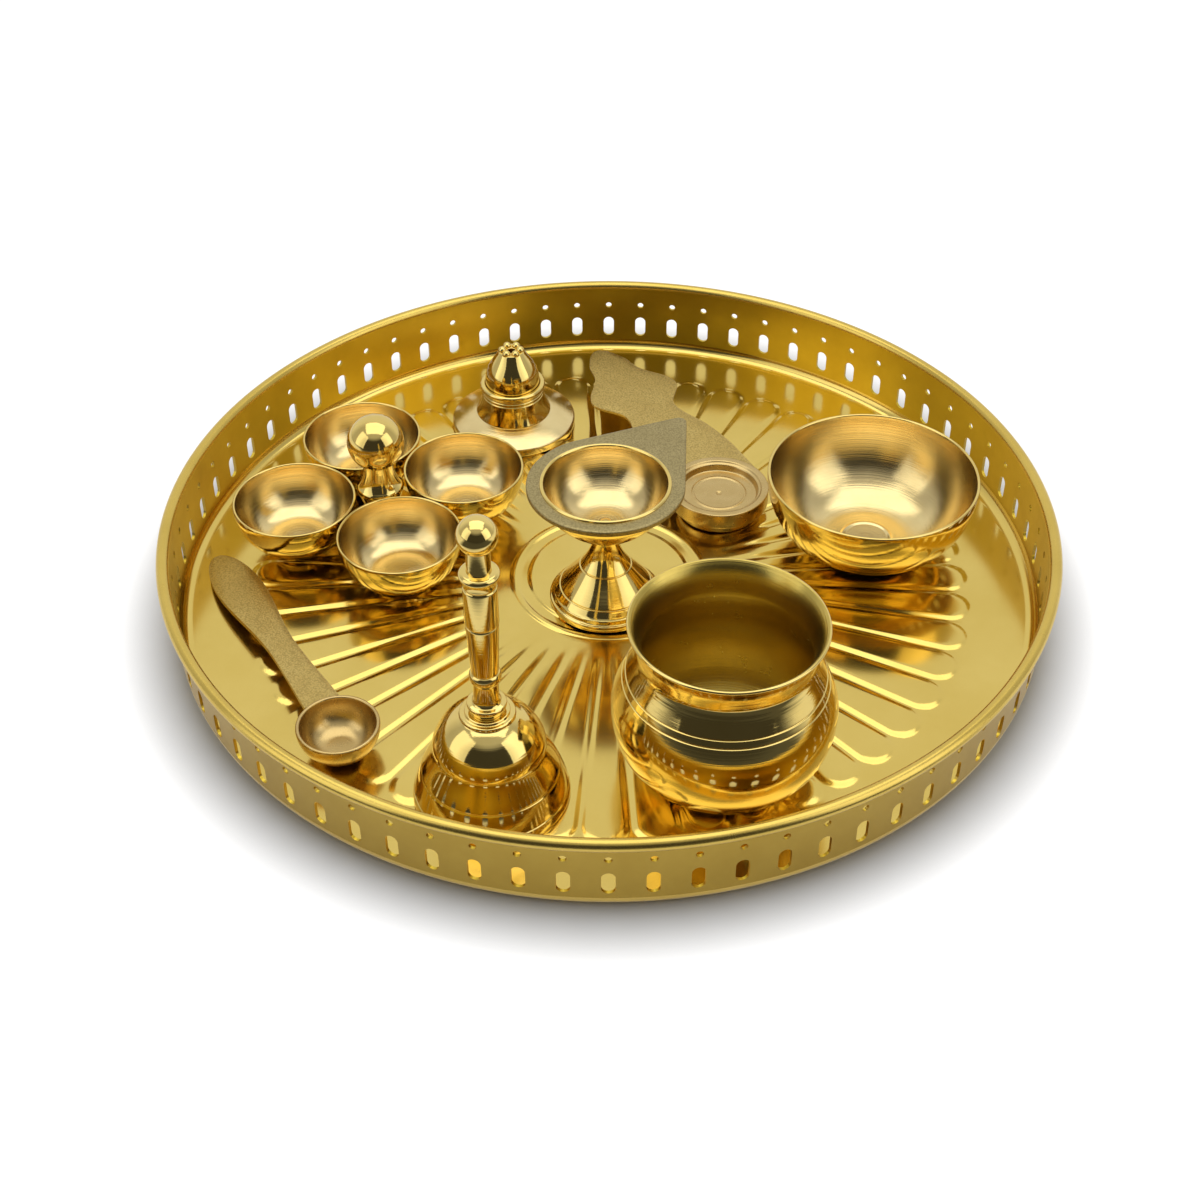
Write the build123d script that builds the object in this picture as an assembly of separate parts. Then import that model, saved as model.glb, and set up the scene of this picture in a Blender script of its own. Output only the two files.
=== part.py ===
from build123d import *

import os
from math import asin, atan, cos, degrees, pi, radians, sqrt, tan

# A brass puja thali: a pierced tray with a fluted floor, and the vessels that stand on it.
# Millimetres. The tray stands on z = 0 with its centre on the Z axis, and -Y faces the user.

# Fits
SEAT_GAP = 0.05  # round a screw, rivet or stud in its hole
SWING_GAP = 0.3  # between the clapper's hook and the eye it hangs from

# Tray: one sheet with a rolled rim
TRAY_R = 152.4
TRAY_H = 31.0
TRAY_SHEET = 1.0
TRAY_CORNER_R = 5.0
RIM_BEAD_R = 2.1
RIM_CURL_DEG = 290.0
EMBOSS_RISE = 1.0
EMBOSS_SLOPE = 0.6
CENTRE_DISC_R = 28.5
CENTRE_RING_R = 33.0
CENTRE_RING_W = 3.2

# Raised flutes of the tray's floor
FLUTE_COUNT = 48
FLUTE_PHASE_DEG = -0.5
FLUTE_INNER_R = 41.0
FLUTE_OUTER_R = 125.0
FLUTE_GAP = 2.6
FLUTE_END_R = 5.0
FLUTE_ROOT_R = 0.9

# Holes of the tray's wall
HOLE_COUNT = 72
OVAL_W = 4.2
OVAL_H = 8.7
OVAL_Z = 11.4
DOT_R = 1.2
DOT_Z = 21.4

# Vessels set out from the tray's centre, along X and Y
KATORI_AT = (92.3, 18.0)
INCENSE_AT = (-37.0, 93.0)
BURNER_AT = (40.3, 38.3)
DIYA_AT = (-1.0, -12.0)

# Vessels set out from the tray's wall, by their angle from +X and their gap to the wall
LOTA_AT_DEG = -68.85
LOTA_WALL_GAP = 16.0
CUPS_AT_DEG = 162.9
CUPS_WALL_GAP = 11.0
BELL_AT_DEG = -109.0
BELL_WALL_GAP = 14.0
SPOON_WALL_GAP = 31.7  # from the middle of its handle
SPOON_BACK = 33.4  # from the point of its axis nearest the tray's centre to its bowl

# Katori
KATORI_R = 36.8
KATORI_FOOT_R = 13.0
KATORI_FOOT_H = 1.2
KATORI_H = 30.0
KATORI_WALL = 1.1

# Lota
LOTA_BASE_R = 17.0
LOTA_BELLY_R = 34.6
LOTA_BELLY_Z = 24.5
LOTA_BEND_R = 33.9
LOTA_BEND_Z = 29.5
LOTA_SHOULDER_R = 31.0
LOTA_SHOULDER_Z = 37.0
LOTA_THROAT_R = 27.6
LOTA_THROAT_Z = 44.5
LOTA_NECK_R = 26.8
LOTA_NECK_Z = 47.5
LOTA_LIP_R = 30.0
LOTA_H = 56.5
LOTA_WALL = 1.2
LOTA_LINE_R = 0.4
LOTA_LINES_AT = (0.36, 0.44)  # shares of the way from the belly to the lip

# Four-cup holder
CUPS_TURN_DEG = 18.0
CUP_SIDES = ("right", "back", "left", "front")
CUP_R = 21.5
CUP_FOOT_R = 9.0
CUP_FOOT_H = 2.0
CUP_H = 19.0
CUP_WALL = 0.9
CUP_GAP = 0.4  # between neighbouring rims
CROSS_T = 2.0
CROSS_ARM_W = 13.0
KNOB_BALL_R = 10.0
KNOB_BALL_Z = 37.0
KNOB_NECK_R = 5.2
KNOB_FLARE_H = 10.0
KNOB_FLARE_GAP = 0.6  # between the flare and the rims round it
KNOB_STEM_R = 5.0
KNOB_SCREW_R = 2.0
KNOB_SCREW_HEAD_R = 3.8
KNOB_SCREW_L = 12.0

# Incense stand
DOME_R = 23.7
DOME_EDGE_H = 3.2
DOME_H = 6.6
DOME_WALL = 2.0
DRUM_BASE_R = 14.4
DRUM_WAIST_R = 11.6
DRUM_BEAD_R = 12.5
DRUM_BEAD_W = 2.2
DRUM_H = 12.6
DRUM_WALL = 1.0
CONE_GAP = 0.4  # between the cone's foot and the drum's rim
CONE_SEAT_DROP = 1.6
CONE_MID_R = 9.5
CONE_MID_H = 7.0
CONE_TOP_R = 4.7
CONE_H = 15.4
CROWN_LOBES = 6
CROWN_LOBE_R = 1.6
CROWN_RING_R = 3.4
STICK_BORE_R = 1.6
STICK_BORE_L = 9.0
TIE_SCREW_R = 1.5
TIE_SCREW_HEAD_R = 3.0
TIE_SCREW_GRIP = 4.5  # length inside the cone
SCREW_SLOT_W = 0.8
SCREW_SLOT_D = 0.6

# Camphor burner
BURNER_TURN_DEG = 116.5
PAN_R = 18.0
PAN_FOOT_R = 15.0
PAN_FOOT_H = 4.0
PAN_H = 10.0
PAN_RECESS_R = 13.6
PAN_RECESS_D = 3.2
PAN_RING_R = 9.5
PAN_RING_W = 1.2
PAN_RING_H = 0.6
PAN_DOT_R = 1.3
HANDLE_T = 1.2
HANDLE_ROOT_W = 35.0
HANDLE_SHOULDER_X = 36.0
HANDLE_SHOULDER_W = 30.6
HANDLE_NECK_X = 54.0
HANDLE_NECK_W = 20.8
HANDLE_LOBE_X = 68.0
HANDLE_LOBE_W = 36.0
HANDLE_NOTCH_X = 83.0
HANDLE_NOTCH_W = 19.2
HANDLE_TIP_X = 93.0
HANDLE_TIP_W = 14.4
HANDLE_L = 101.0

# Diya
DIYA_FOOT_R = 19.3
DIYA_FOOT_BAND = 2.2
DIYA_FOOT_STEP = 1.8
DIYA_FOOT_H = 30.0
DIYA_STEM_R = 4.6
DIYA_STEM_Z = 26.0
DIYA_SEAT_R = 5.6
DIYA_SEAT_H = 1.5
DIYA_HOLLOW_R = 17.0
DIYA_HOLLOW_TOP_R = 3.0
DIYA_HOLLOW_H = 15.0
DIYA_BOWL_R = 20.5
DIYA_BOWL_H = 19.0
DIYA_BOWL_FOOT_H = 1.5
DIYA_BOWL_WALL = 1.4
LEAF_R = 26.3
LEAF_T = 2.0
LEAF_TIP_X = 43.5
LEAF_TIP_R = 2.5
LEAF_TURN_DEG = 54.4
RIVET_R = 1.2
RIVET_HEAD_R = 2.0
RIVET_HEAD_H = 0.8
RIVET_L = 9.0

# Bell
BELL_MOUTH_R = 24.2
BELL_LIP_H = 1.6
BELL_FLARE_R = 21.4
BELL_FLARE_Z = 10.4
BELL_WAIST_R = 17.4
BELL_WAIST_Z = 19.0
BELL_DOME_R = 16.8
BELL_DOME_Z = 23.0
BELL_SHOULDER_R = 13.1
BELL_SHOULDER_Z = 29.5
BELL_STEP_R = 8.4
BELL_STEP_Z = 33.2
BELL_STEP_H = 1.0
BELL_CROWN_R = 6.8
BELL_H = 35.0
BELL_WALL = 1.8
GRIP_BASE_R = 5.2
GRIP_BASE_L = 1.6
GRIP_COLLAR_R = 6.0
GRIP_COLLAR_L = 1.9
GRIP_NECK_R = 3.8
GRIP_NECK_L = 7.5
GRIP_BEAD_R = 4.8
GRIP_BEAD_L = 5.0
GRIP_TAPER_R = 4.1
GRIP_TAPER_L = 18.0
GRIP_R = 5.0
GRIP_L = 16.4
GRIP_DISC_R = 5.9
GRIP_DISC_L = 2.6
GRIP_TOP_NECK_R = 3.5
GRIP_TOP_NECK_L = 7.5
GRIP_KNOB_R = 5.9

# Clapper
EYE_STUD_R = 1.5
EYE_STUD_L = 8.0
EYE_FLANGE_R = 3.2
EYE_FLANGE_T = 1.4
EYE_R = 2.6
EYE_WIRE_R = 0.7
EYE_SINK = 0.4  # how far the ring runs into its flange
HOOK_R = 2.6
HOOK_WIRE_R = 0.7
ROD_R = 0.9
BOB_R = 4.2
BOB_Z = 8.0
BOB_SOCKET_L = 4.0

# Spoon
SPOON_TURN_DEG = 120.0
SPOON_R = 13.2
SPOON_FOOT_R = 4.0
SPOON_FOOT_H = 0.8
SPOON_H = 11.4
SPOON_WALL = 1.3
SPOON_HANDLE_T = 2.0
SPOON_HANDLE_ROOT_W = 12.4
SPOON_HANDLE_WAIST_X = 46.0
SPOON_HANDLE_WAIST_W = 9.2
SPOON_HANDLE_END_X = 86.0
SPOON_HANDLE_END_W = 15.8
SPOON_HANDLE_L = 109.0
SPOON_HANDLE_DROP = 9.0

INSET_STEPS = 12

# The vessels rest on the tops of the flutes and of the centre disc
REST_Z = TRAY_SHEET + EMBOSS_RISE
TRAY_WALL_IN_R = TRAY_R - 2 * RIM_BEAD_R
TRAY_WALL_OUT_R = TRAY_WALL_IN_R + TRAY_SHEET
TRAY_FLOOR_R = TRAY_WALL_OUT_R - TRAY_CORNER_R


def turned(*lines):
    """Solid made by turning a closed outline of the XZ plane about the Z axis."""
    return revolve(Plane.XZ * make_face(lines), Axis.Z)


def inset(curve, wall):
    """Curve that runs a wall's thickness to the left of the given one."""
    points = []
    for step in range(INSET_STEPS + 1):
        share = step / INSET_STEPS
        way = curve % share
        points.append(curve @ share + Vector(-way.Y, way.X) * wall)
    return Spline(*points, tangents=[curve % 0, curve % 1])


def lip(outer, inner):
    """Half-round edge from the outer face of a wall to its inner face."""
    across = Vector(*inner) - Vector(*outer)
    crest = Vector(*outer) + across * 0.5 + Vector(across.Y, -across.X) * 0.5
    return ThreePointArc(outer, crest, inner)


def peg(radius, length):
    """Upright cylinder that stands on z = 0."""
    return Cylinder(radius, length, align=(Align.CENTER, Align.CENTER, Align.MIN))


def by_centre(place, turn=0.0):
    """Location of a vessel that keeps its distance from the tray's centre."""
    return Pos(place[0], place[1], REST_Z) * Rot(0, 0, turn)


def by_wall(angle, gap, reach, turn=0.0):
    """Location of a vessel that reaches so far about its centre and keeps its gap to the tray's wall."""
    return Rot(0, 0, angle) * Pos(TRAY_WALL_IN_R - gap - reach, 0, REST_Z) * Rot(0, 0, turn - angle)


def along_wall(angle, gap, back):
    """Location of a long vessel that lies at this angle and keeps its axis so far from the tray's wall."""
    return Rot(0, 0, angle) * Pos(-back, TRAY_WALL_IN_R - gap, REST_Z)


def bowl(rim_r, foot_r, foot_h, height, wall):
    """Turned bowl on a short foot, with sides of a quarter ellipse and a half-round lip."""
    centre = (foot_r, height)
    across = rim_r - foot_r
    deep = height - foot_h
    return turned(
        Polyline((0, 0), (foot_r, 0), (foot_r, foot_h)),
        EllipticalCenterArc(centre, across, deep, -90, arc_size=90),
        lip((rim_r, height), (rim_r - wall, height)),
        EllipticalCenterArc(centre, across - wall, deep - wall, -90, arc_size=90),
        Polyline((foot_r, foot_h + wall), (0, foot_h + wall), (0, 0)),
    )


def screw(shank_r, head_r, length):
    """Slotted countersunk screw, head down, with its head's face on z = 0."""
    shape = turned(
        Polyline(
            (0, 0),
            (head_r, 0),
            (shank_r, head_r - shank_r),
            (shank_r, length),
            (0, length),
            (0, 0),
        )
    )
    return shape - Box(2 * head_r, SCREW_SLOT_W, 2 * SCREW_SLOT_D)


def screw_hole(shank_r, head_r, plate):
    """Countersunk hole for that screw in a plate that stands on z = 0."""
    hole_r = shank_r + SEAT_GAP
    sink_r = head_r + SEAT_GAP
    return turned(
        Polyline((0, 0), (sink_r, 0), (hole_r, sink_r - hole_r), (hole_r, plate), (0, plate), (0, 0))
    )


# Tray

def tray_sheet():
    """Turned sheet: pressed centre, flat floor, round corner, wall and rolled rim."""
    bead = (TRAY_R - RIM_BEAD_R, TRAY_H - RIM_BEAD_R)
    corner = (TRAY_FLOOR_R, TRAY_CORNER_R)
    ring_in = CENTRE_RING_R - CENTRE_RING_W / 2
    ring_out = CENTRE_RING_R + CENTRE_RING_W / 2
    relief = (
        (0, EMBOSS_RISE),
        (CENTRE_DISC_R - EMBOSS_SLOPE, EMBOSS_RISE),
        (CENTRE_DISC_R, 0),
        (ring_in, 0),
        (ring_in + EMBOSS_SLOPE, EMBOSS_RISE),
        (ring_out - EMBOSS_SLOPE, EMBOSS_RISE),
        (ring_out, 0),
        (TRAY_FLOOR_R, 0),
    )
    top = [(r, z + TRAY_SHEET) for r, z in reversed(relief)]
    inner_curl = CenterArc(bead, RIM_BEAD_R - TRAY_SHEET, 180, -RIM_CURL_DEG)
    outer_curl = CenterArc(bead, RIM_BEAD_R, 180, -RIM_CURL_DEG)
    return turned(
        Polyline(*relief),
        CenterArc(corner, TRAY_CORNER_R, -90, 90),
        Line((TRAY_WALL_OUT_R, TRAY_CORNER_R), (TRAY_WALL_OUT_R, bead[1])),
        inner_curl,
        Line(inner_curl @ 1, outer_curl @ 1),
        outer_curl,
        Line((TRAY_WALL_IN_R, bead[1]), (TRAY_WALL_IN_R, TRAY_CORNER_R)),
        CenterArc(corner, TRAY_CORNER_R - TRAY_SHEET, -90, 90),
        Polyline(*top),
        Line(top[-1], relief[0]),
    )


def flute():
    """One raised flute along +X with sloped sides and rounded ends, its foot on z = 0."""
    half_pitch = pi / FLUTE_COUNT
    half_gap = FLUTE_GAP / 2 / cos(half_pitch)
    root = FLUTE_INNER_R * tan(half_pitch) - half_gap
    end = FLUTE_OUTER_R * tan(half_pitch) - half_gap
    outline = make_face(
        Polyline(
            (FLUTE_INNER_R, -root),
            (FLUTE_OUTER_R, -end),
            (FLUTE_OUTER_R, end),
            (FLUTE_INNER_R, root),
            close=True,
        )
    )
    outline = fillet(outline.vertices().sort_by(Axis.X)[2:], min(FLUTE_END_R, 0.95 * end))
    outline = fillet(outline.vertices().sort_by(Axis.X)[:2], min(FLUTE_ROOT_R, 0.95 * root))
    return extrude(outline, EMBOSS_RISE, taper=degrees(atan(EMBOSS_SLOPE / EMBOSS_RISE)))


def wall_punch(outline, height):
    """Radial cutter along +X through the tray's wall."""
    start = Pos(TRAY_WALL_IN_R - TRAY_SHEET, 0, height)
    return start * extrude(Plane.YZ * outline, 3 * TRAY_SHEET)


def thali_tray():
    """Pressed tray: flutes raised from below, and ovals and dots punched through the wall."""
    ridge = flute()
    ridges = [Rot(0, 0, FLUTE_PHASE_DEG + k * 360 / FLUTE_COUNT) * ridge for k in range(FLUTE_COUNT)]
    oval = wall_punch(SlotOverall(OVAL_H, OVAL_W, rotation=90), OVAL_Z)
    dot = wall_punch(Circle(DOT_R), DOT_Z)
    holes = [Rot(0, 0, k * 360 / HOLE_COUNT) * tool for k in range(HOLE_COUNT) for tool in (oval, dot)]
    sheet = tray_sheet() - ridges - holes
    return sheet + [Pos(0, 0, TRAY_SHEET) * ridge for ridge in ridges]


# Pots

def katori():
    """Round bowl on a low foot."""
    return bowl(KATORI_R, KATORI_FOOT_R, KATORI_FOOT_H, KATORI_H, KATORI_WALL)


def lota():
    """Round-bellied pot with a waisted neck, a flared lip and two turned lines."""
    belly = (LOTA_BASE_R, LOTA_BELLY_Z)
    across = LOTA_BELLY_R - LOTA_BASE_R
    side = Spline(
        (LOTA_BELLY_R, LOTA_BELLY_Z),
        (LOTA_BEND_R, LOTA_BEND_Z),
        (LOTA_SHOULDER_R, LOTA_SHOULDER_Z),
        (LOTA_THROAT_R, LOTA_THROAT_Z),
        (LOTA_NECK_R, LOTA_NECK_Z),
        (LOTA_LIP_R, LOTA_H),
        tangents=[(0, 1), (1, 1)],
    )
    inside = inset(side, LOTA_WALL)
    pot = turned(
        Line((0, 0), (LOTA_BASE_R, 0)),
        EllipticalCenterArc(belly, across, LOTA_BELLY_Z, -90, arc_size=90),
        side,
        lip(side @ 1, inside @ 1),
        inside,
        EllipticalCenterArc(belly, across - LOTA_WALL, LOTA_BELLY_Z - LOTA_WALL, -90, arc_size=90),
        Polyline((LOTA_BASE_R, LOTA_WALL), (0, LOTA_WALL), (0, 0)),
    )
    lines = [side @ share for share in LOTA_LINES_AT]
    return pot - [Pos(0, 0, line.Y) * Torus(line.X, LOTA_LINE_R) for line in lines]


# Four-cup holder

CUP_RING_R = (CUP_R + CUP_GAP / 2) * sqrt(2)


def cup_places():
    """Places of the four cups about the holder's centre."""
    return PolarLocations(CUP_RING_R, len(CUP_SIDES))


def cup():
    """Small bowl of the holder."""
    return bowl(CUP_R, CUP_FOOT_R, CUP_FOOT_H, CUP_H, CUP_WALL)


def cup_cross():
    """Flat cross under the cups, countersunk from below for the knob's screw."""
    arm = SlotCenterToCenter(2 * CUP_RING_R, CROSS_ARM_W)
    plate = extrude(arm + Rot(0, 0, 90) * arm, CROSS_T)
    return plate - screw_hole(KNOB_SCREW_R, KNOB_SCREW_HEAD_R, CROSS_T)


def cup_knob():
    """Ball knob on a stem that flares between the cups' rims and stands on the cross."""
    flare_r = CUP_RING_R - CUP_R - KNOB_FLARE_GAP
    flare_z = CUP_H - CUP_WALL
    neck_z = KNOB_BALL_Z - sqrt(KNOB_BALL_R**2 - KNOB_NECK_R**2)
    ball_start = -degrees(asin((KNOB_BALL_Z - neck_z) / KNOB_BALL_R))
    ball = CenterArc((0, KNOB_BALL_Z), KNOB_BALL_R, ball_start, 90 - ball_start)
    shape = turned(
        Polyline((0, 0), (KNOB_STEM_R, 0), (KNOB_STEM_R, flare_z - KNOB_FLARE_H), (flare_r, flare_z)),
        Spline((flare_r, flare_z), (KNOB_NECK_R, neck_z), tangents=[(-1, 1), (0, 1)]),
        ball,
        Line(ball @ 1, (0, 0)),
    )
    return shape - peg(KNOB_SCREW_R + SEAT_GAP, KNOB_SCREW_L - CROSS_T)


# Incense stand

def incense_base():
    """Domed base, hollow below, countersunk for the tie screw."""
    inner_r = DOME_R - DOME_WALL
    shape = turned(
        Polyline(
            (0, DOME_H - DOME_WALL),
            (DRUM_BASE_R - DOME_WALL, DOME_H - DOME_WALL),
            (inner_r, DOME_EDGE_H - DOME_WALL),
            (inner_r, 0),
            (DOME_R, 0),
            (DOME_R, DOME_EDGE_H),
            (DRUM_BASE_R, DOME_H),
            (0, DOME_H),
            (0, DOME_H - DOME_WALL),
        )
    )
    return shape - Pos(0, 0, DOME_H - DOME_WALL) * screw_hole(TIE_SCREW_R, TIE_SCREW_HEAD_R, DOME_WALL)


def incense_drum():
    """Waisted drum, open below, with a beaded rim round the cone's seat."""
    bead_z = DRUM_H - DRUM_BEAD_W
    seat_z = DRUM_H - CONE_SEAT_DROP
    rim_in_r = DRUM_WAIST_R - DRUM_WALL
    bead_mid = (DRUM_BEAD_R, bead_z + DRUM_BEAD_W / 2)
    shape = turned(
        Spline((DRUM_BASE_R, 0), (DRUM_WAIST_R, bead_z), tangents=[(-1, 2), (0, 1)]),
        ThreePointArc((DRUM_WAIST_R, bead_z), bead_mid, (DRUM_WAIST_R, DRUM_H)),
        Polyline((DRUM_WAIST_R, DRUM_H), (rim_in_r, DRUM_H), (rim_in_r, seat_z), (0, seat_z)),
        Polyline((0, seat_z), (0, seat_z - DRUM_WALL), (rim_in_r, seat_z - DRUM_WALL)),
        Polyline((rim_in_r, seat_z - DRUM_WALL), (DRUM_BASE_R - DRUM_WALL, 0), (DRUM_BASE_R, 0)),
    )
    return shape - Cylinder(TIE_SCREW_R + SEAT_GAP, 2 * DRUM_H)


def incense_cone():
    """Ogive cone with a lobed crown round the stick's socket."""
    foot_r = DRUM_WAIST_R - DRUM_WALL - CONE_GAP
    shape = turned(
        Line((0, 0), (foot_r, 0)),
        Spline((foot_r, 0), (CONE_MID_R, CONE_MID_H), (CONE_TOP_R, CONE_H), tangents=[(0, 1), (-1, 2)]),
        Polyline((CONE_TOP_R, CONE_H), (0, CONE_H), (0, 0)),
    )
    lobe = Pos(0, 0, CONE_H) * Sphere(CROWN_LOBE_R)
    shape += [place * lobe for place in PolarLocations(CROWN_RING_R, CROWN_LOBES)]
    socket = Pos(0, 0, CONE_H - STICK_BORE_L) * peg(STICK_BORE_R, STICK_BORE_L + CROWN_LOBE_R)
    return shape - socket - peg(TIE_SCREW_R + SEAT_GAP, TIE_SCREW_GRIP)


# Camphor burner

def burner_pan():
    """Round pan with a stepped recess, on a solid round foot."""
    floor_z = PAN_H - PAN_RECESS_D
    ring_in = PAN_RING_R - PAN_RING_W / 2
    ring_out = PAN_RING_R + PAN_RING_W / 2
    return turned(
        Polyline(
            (0, 0),
            (PAN_FOOT_R, 0),
            (PAN_FOOT_R, PAN_FOOT_H),
            (PAN_R, PAN_FOOT_H),
            (PAN_R, PAN_H),
            (PAN_RECESS_R, PAN_H),
            (PAN_RECESS_R, floor_z),
            (ring_out, floor_z),
            (ring_out, floor_z + PAN_RING_H),
            (ring_in, floor_z + PAN_RING_H),
            (ring_in, floor_z),
            (PAN_DOT_R, floor_z),
            (PAN_DOT_R, floor_z + PAN_RING_H),
            (0, floor_z + PAN_RING_H),
            (0, 0),
        )
    )


def burner_handle():
    """Flat handle along +X that narrows from the pan's sides to a neck and ends in a lobed leaf."""
    half_root = HANDLE_ROOT_W / 2
    side = Spline(
        (PAN_R, half_root),
        (HANDLE_SHOULDER_X, HANDLE_SHOULDER_W / 2),
        (HANDLE_NECK_X, HANDLE_NECK_W / 2),
        (HANDLE_LOBE_X, HANDLE_LOBE_W / 2),
        (HANDLE_NOTCH_X, HANDLE_NOTCH_W / 2),
        (HANDLE_TIP_X, HANDLE_TIP_W / 2),
        (HANDLE_L, 0),
        tangents=[(1, 0), (0, -1)],
    )
    root = Polyline((PAN_R, half_root), (0, half_root), (0, -half_root), (PAN_R, -half_root))
    plate = make_face((root, side, mirror(side, Plane.XZ))) - Circle((PAN_R + PAN_RECESS_R) / 2)
    return Pos(0, 0, PAN_H - HANDLE_T) * extrude(plate, HANDLE_T)


def camphor_burner():
    """One casting of pan and handle."""
    return burner_pan() + burner_handle()


# Diya

def diya_foot():
    """Turned trumpet foot, hollow below, with a seat and a rivet hole on top."""
    step_r = DIYA_FOOT_R - DIYA_FOOT_STEP
    step_z = DIYA_FOOT_BAND + DIYA_FOOT_STEP
    seat_z = DIYA_FOOT_H - DIYA_SEAT_H
    shape = turned(
        Polyline((0, 0), (DIYA_FOOT_R, 0), (DIYA_FOOT_R, DIYA_FOOT_BAND), (step_r, step_z)),
        Spline((step_r, step_z), (DIYA_STEM_R, DIYA_STEM_Z), tangents=[(-2, 3), (0, 1)]),
        Polyline(
            (DIYA_STEM_R, DIYA_STEM_Z),
            (DIYA_SEAT_R, seat_z),
            (DIYA_SEAT_R, DIYA_FOOT_H),
            (0, DIYA_FOOT_H),
            (0, 0),
        ),
    )
    hollow = turned(
        Polyline((0, 0), (DIYA_HOLLOW_R, 0), (DIYA_HOLLOW_TOP_R, DIYA_HOLLOW_H), (0, DIYA_HOLLOW_H), (0, 0))
    )
    rivet_hole = Pos(0, 0, DIYA_FOOT_H) * Cylinder(RIVET_R + SEAT_GAP, 2 * RIVET_L)
    return shape - hollow - rivet_hole


def diya_bowl():
    """Round bowl with a flat leaf-shaped rim that points to one side."""
    rim_r = DIYA_BOWL_R + DIYA_BOWL_WALL
    cup_shape = bowl(rim_r, DIYA_SEAT_R, DIYA_BOWL_FOOT_H, DIYA_BOWL_H, DIYA_BOWL_WALL)
    tip = Pos(LEAF_TIP_X, 0) * Circle(LEAF_TIP_R)
    leaf = make_hull(Circle(LEAF_R).edges() + tip.edges()) - Circle(DIYA_BOWL_R + DIYA_BOWL_WALL / 2)
    shape = cup_shape + Pos(0, 0, DIYA_BOWL_H - LEAF_T) * extrude(leaf, LEAF_T)
    return shape - Cylinder(RIVET_R + SEAT_GAP, DIYA_BOWL_H)


def diya_rivet():
    """Round-headed rivet from the floor of the bowl down into the foot."""
    seat = DIYA_BOWL_FOOT_H + DIYA_BOWL_WALL
    low = seat - RIVET_L
    dome_r = (RIVET_HEAD_R**2 + RIVET_HEAD_H**2) / (2 * RIVET_HEAD_H)
    dome_start = 90 - degrees(asin(RIVET_HEAD_R / dome_r))
    dome = CenterArc((0, seat + RIVET_HEAD_H - dome_r), dome_r, dome_start, 90 - dome_start)
    return turned(
        Polyline((0, low), (RIVET_R, low), (RIVET_R, seat), (RIVET_HEAD_R, seat)),
        dome,
        Line(dome @ 1, (0, low)),
    )


# Bell

CROWN_IN_Z = BELL_H - BELL_WALL
EYE_Z = CROWN_IN_Z - EYE_FLANGE_T + EYE_SINK - EYE_R - EYE_WIRE_R
SWING_Z = EYE_Z - EYE_R + EYE_WIRE_R + HOOK_WIRE_R + SWING_GAP


def bell_cup():
    """Flared bell with a round dome, a stepped crown and a bore through it."""
    hole_r = EYE_STUD_R + SEAT_GAP
    step_top = BELL_STEP_Z + BELL_STEP_H
    side = Spline(
        (BELL_MOUTH_R, BELL_LIP_H),
        (BELL_FLARE_R, BELL_FLARE_Z),
        (BELL_WAIST_R, BELL_WAIST_Z),
        (BELL_DOME_R, BELL_DOME_Z),
        (BELL_SHOULDER_R, BELL_SHOULDER_Z),
        (BELL_STEP_R, BELL_STEP_Z),
        tangents=[(-1, 4), (-2, 1)],
    )
    inside = inset(side, BELL_WALL)
    mouth = inside @ 0
    crown = Polyline(
        (BELL_STEP_R, BELL_STEP_Z),
        (BELL_STEP_R, step_top),
        (BELL_CROWN_R, step_top),
        (BELL_CROWN_R, BELL_H),
        (hole_r, BELL_H),
        (hole_r, CROWN_IN_Z),
        (EYE_FLANGE_R, CROWN_IN_Z),
        inside @ 1,
    )
    return turned(
        side,
        crown,
        inside,
        Polyline(mouth, (mouth.X, 0), (BELL_MOUTH_R, 0), (BELL_MOUTH_R, BELL_LIP_H)),
    )


def bell_handle():
    """Turned handle with a bead, a taper, a disc and a ball end, bored below for the eye's stud."""
    neck_z = GRIP_BASE_L + GRIP_COLLAR_L
    bead_z = neck_z + GRIP_NECK_L
    taper_z = bead_z + GRIP_BEAD_L
    grip_z = taper_z + GRIP_TAPER_L
    disc_z = grip_z + GRIP_L
    top_z = disc_z + GRIP_DISC_L
    knob_low = top_z + GRIP_TOP_NECK_L
    knob_z = knob_low + sqrt(GRIP_KNOB_R**2 - GRIP_TOP_NECK_R**2)
    knob_start = -degrees(asin((knob_z - knob_low) / GRIP_KNOB_R))
    knob = CenterArc((0, knob_z), GRIP_KNOB_R, knob_start, 90 - knob_start)
    bead_mid = (GRIP_BEAD_R, bead_z + GRIP_BEAD_L / 2)
    disc_mid = (GRIP_DISC_R, disc_z + GRIP_DISC_L / 2)
    shape = turned(
        Polyline((0, 0), (GRIP_BASE_R, 0), (GRIP_BASE_R, GRIP_BASE_L)),
        Polyline((GRIP_BASE_R, GRIP_BASE_L), (GRIP_COLLAR_R, GRIP_BASE_L), (GRIP_COLLAR_R, neck_z)),
        Polyline((GRIP_COLLAR_R, neck_z), (GRIP_NECK_R, neck_z), (GRIP_NECK_R, bead_z)),
        ThreePointArc((GRIP_NECK_R, bead_z), bead_mid, (GRIP_TAPER_R, taper_z)),
        Polyline((GRIP_TAPER_R, taper_z), (GRIP_R, grip_z), (GRIP_R, disc_z)),
        ThreePointArc((GRIP_R, disc_z), disc_mid, (GRIP_TOP_NECK_R, top_z)),
        Line((GRIP_TOP_NECK_R, top_z), (GRIP_TOP_NECK_R, knob_low)),
        knob,
        Line(knob @ 1, (0, 0)),
    )
    return shape - peg(EYE_STUD_R + SEAT_GAP, EYE_STUD_L)


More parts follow.
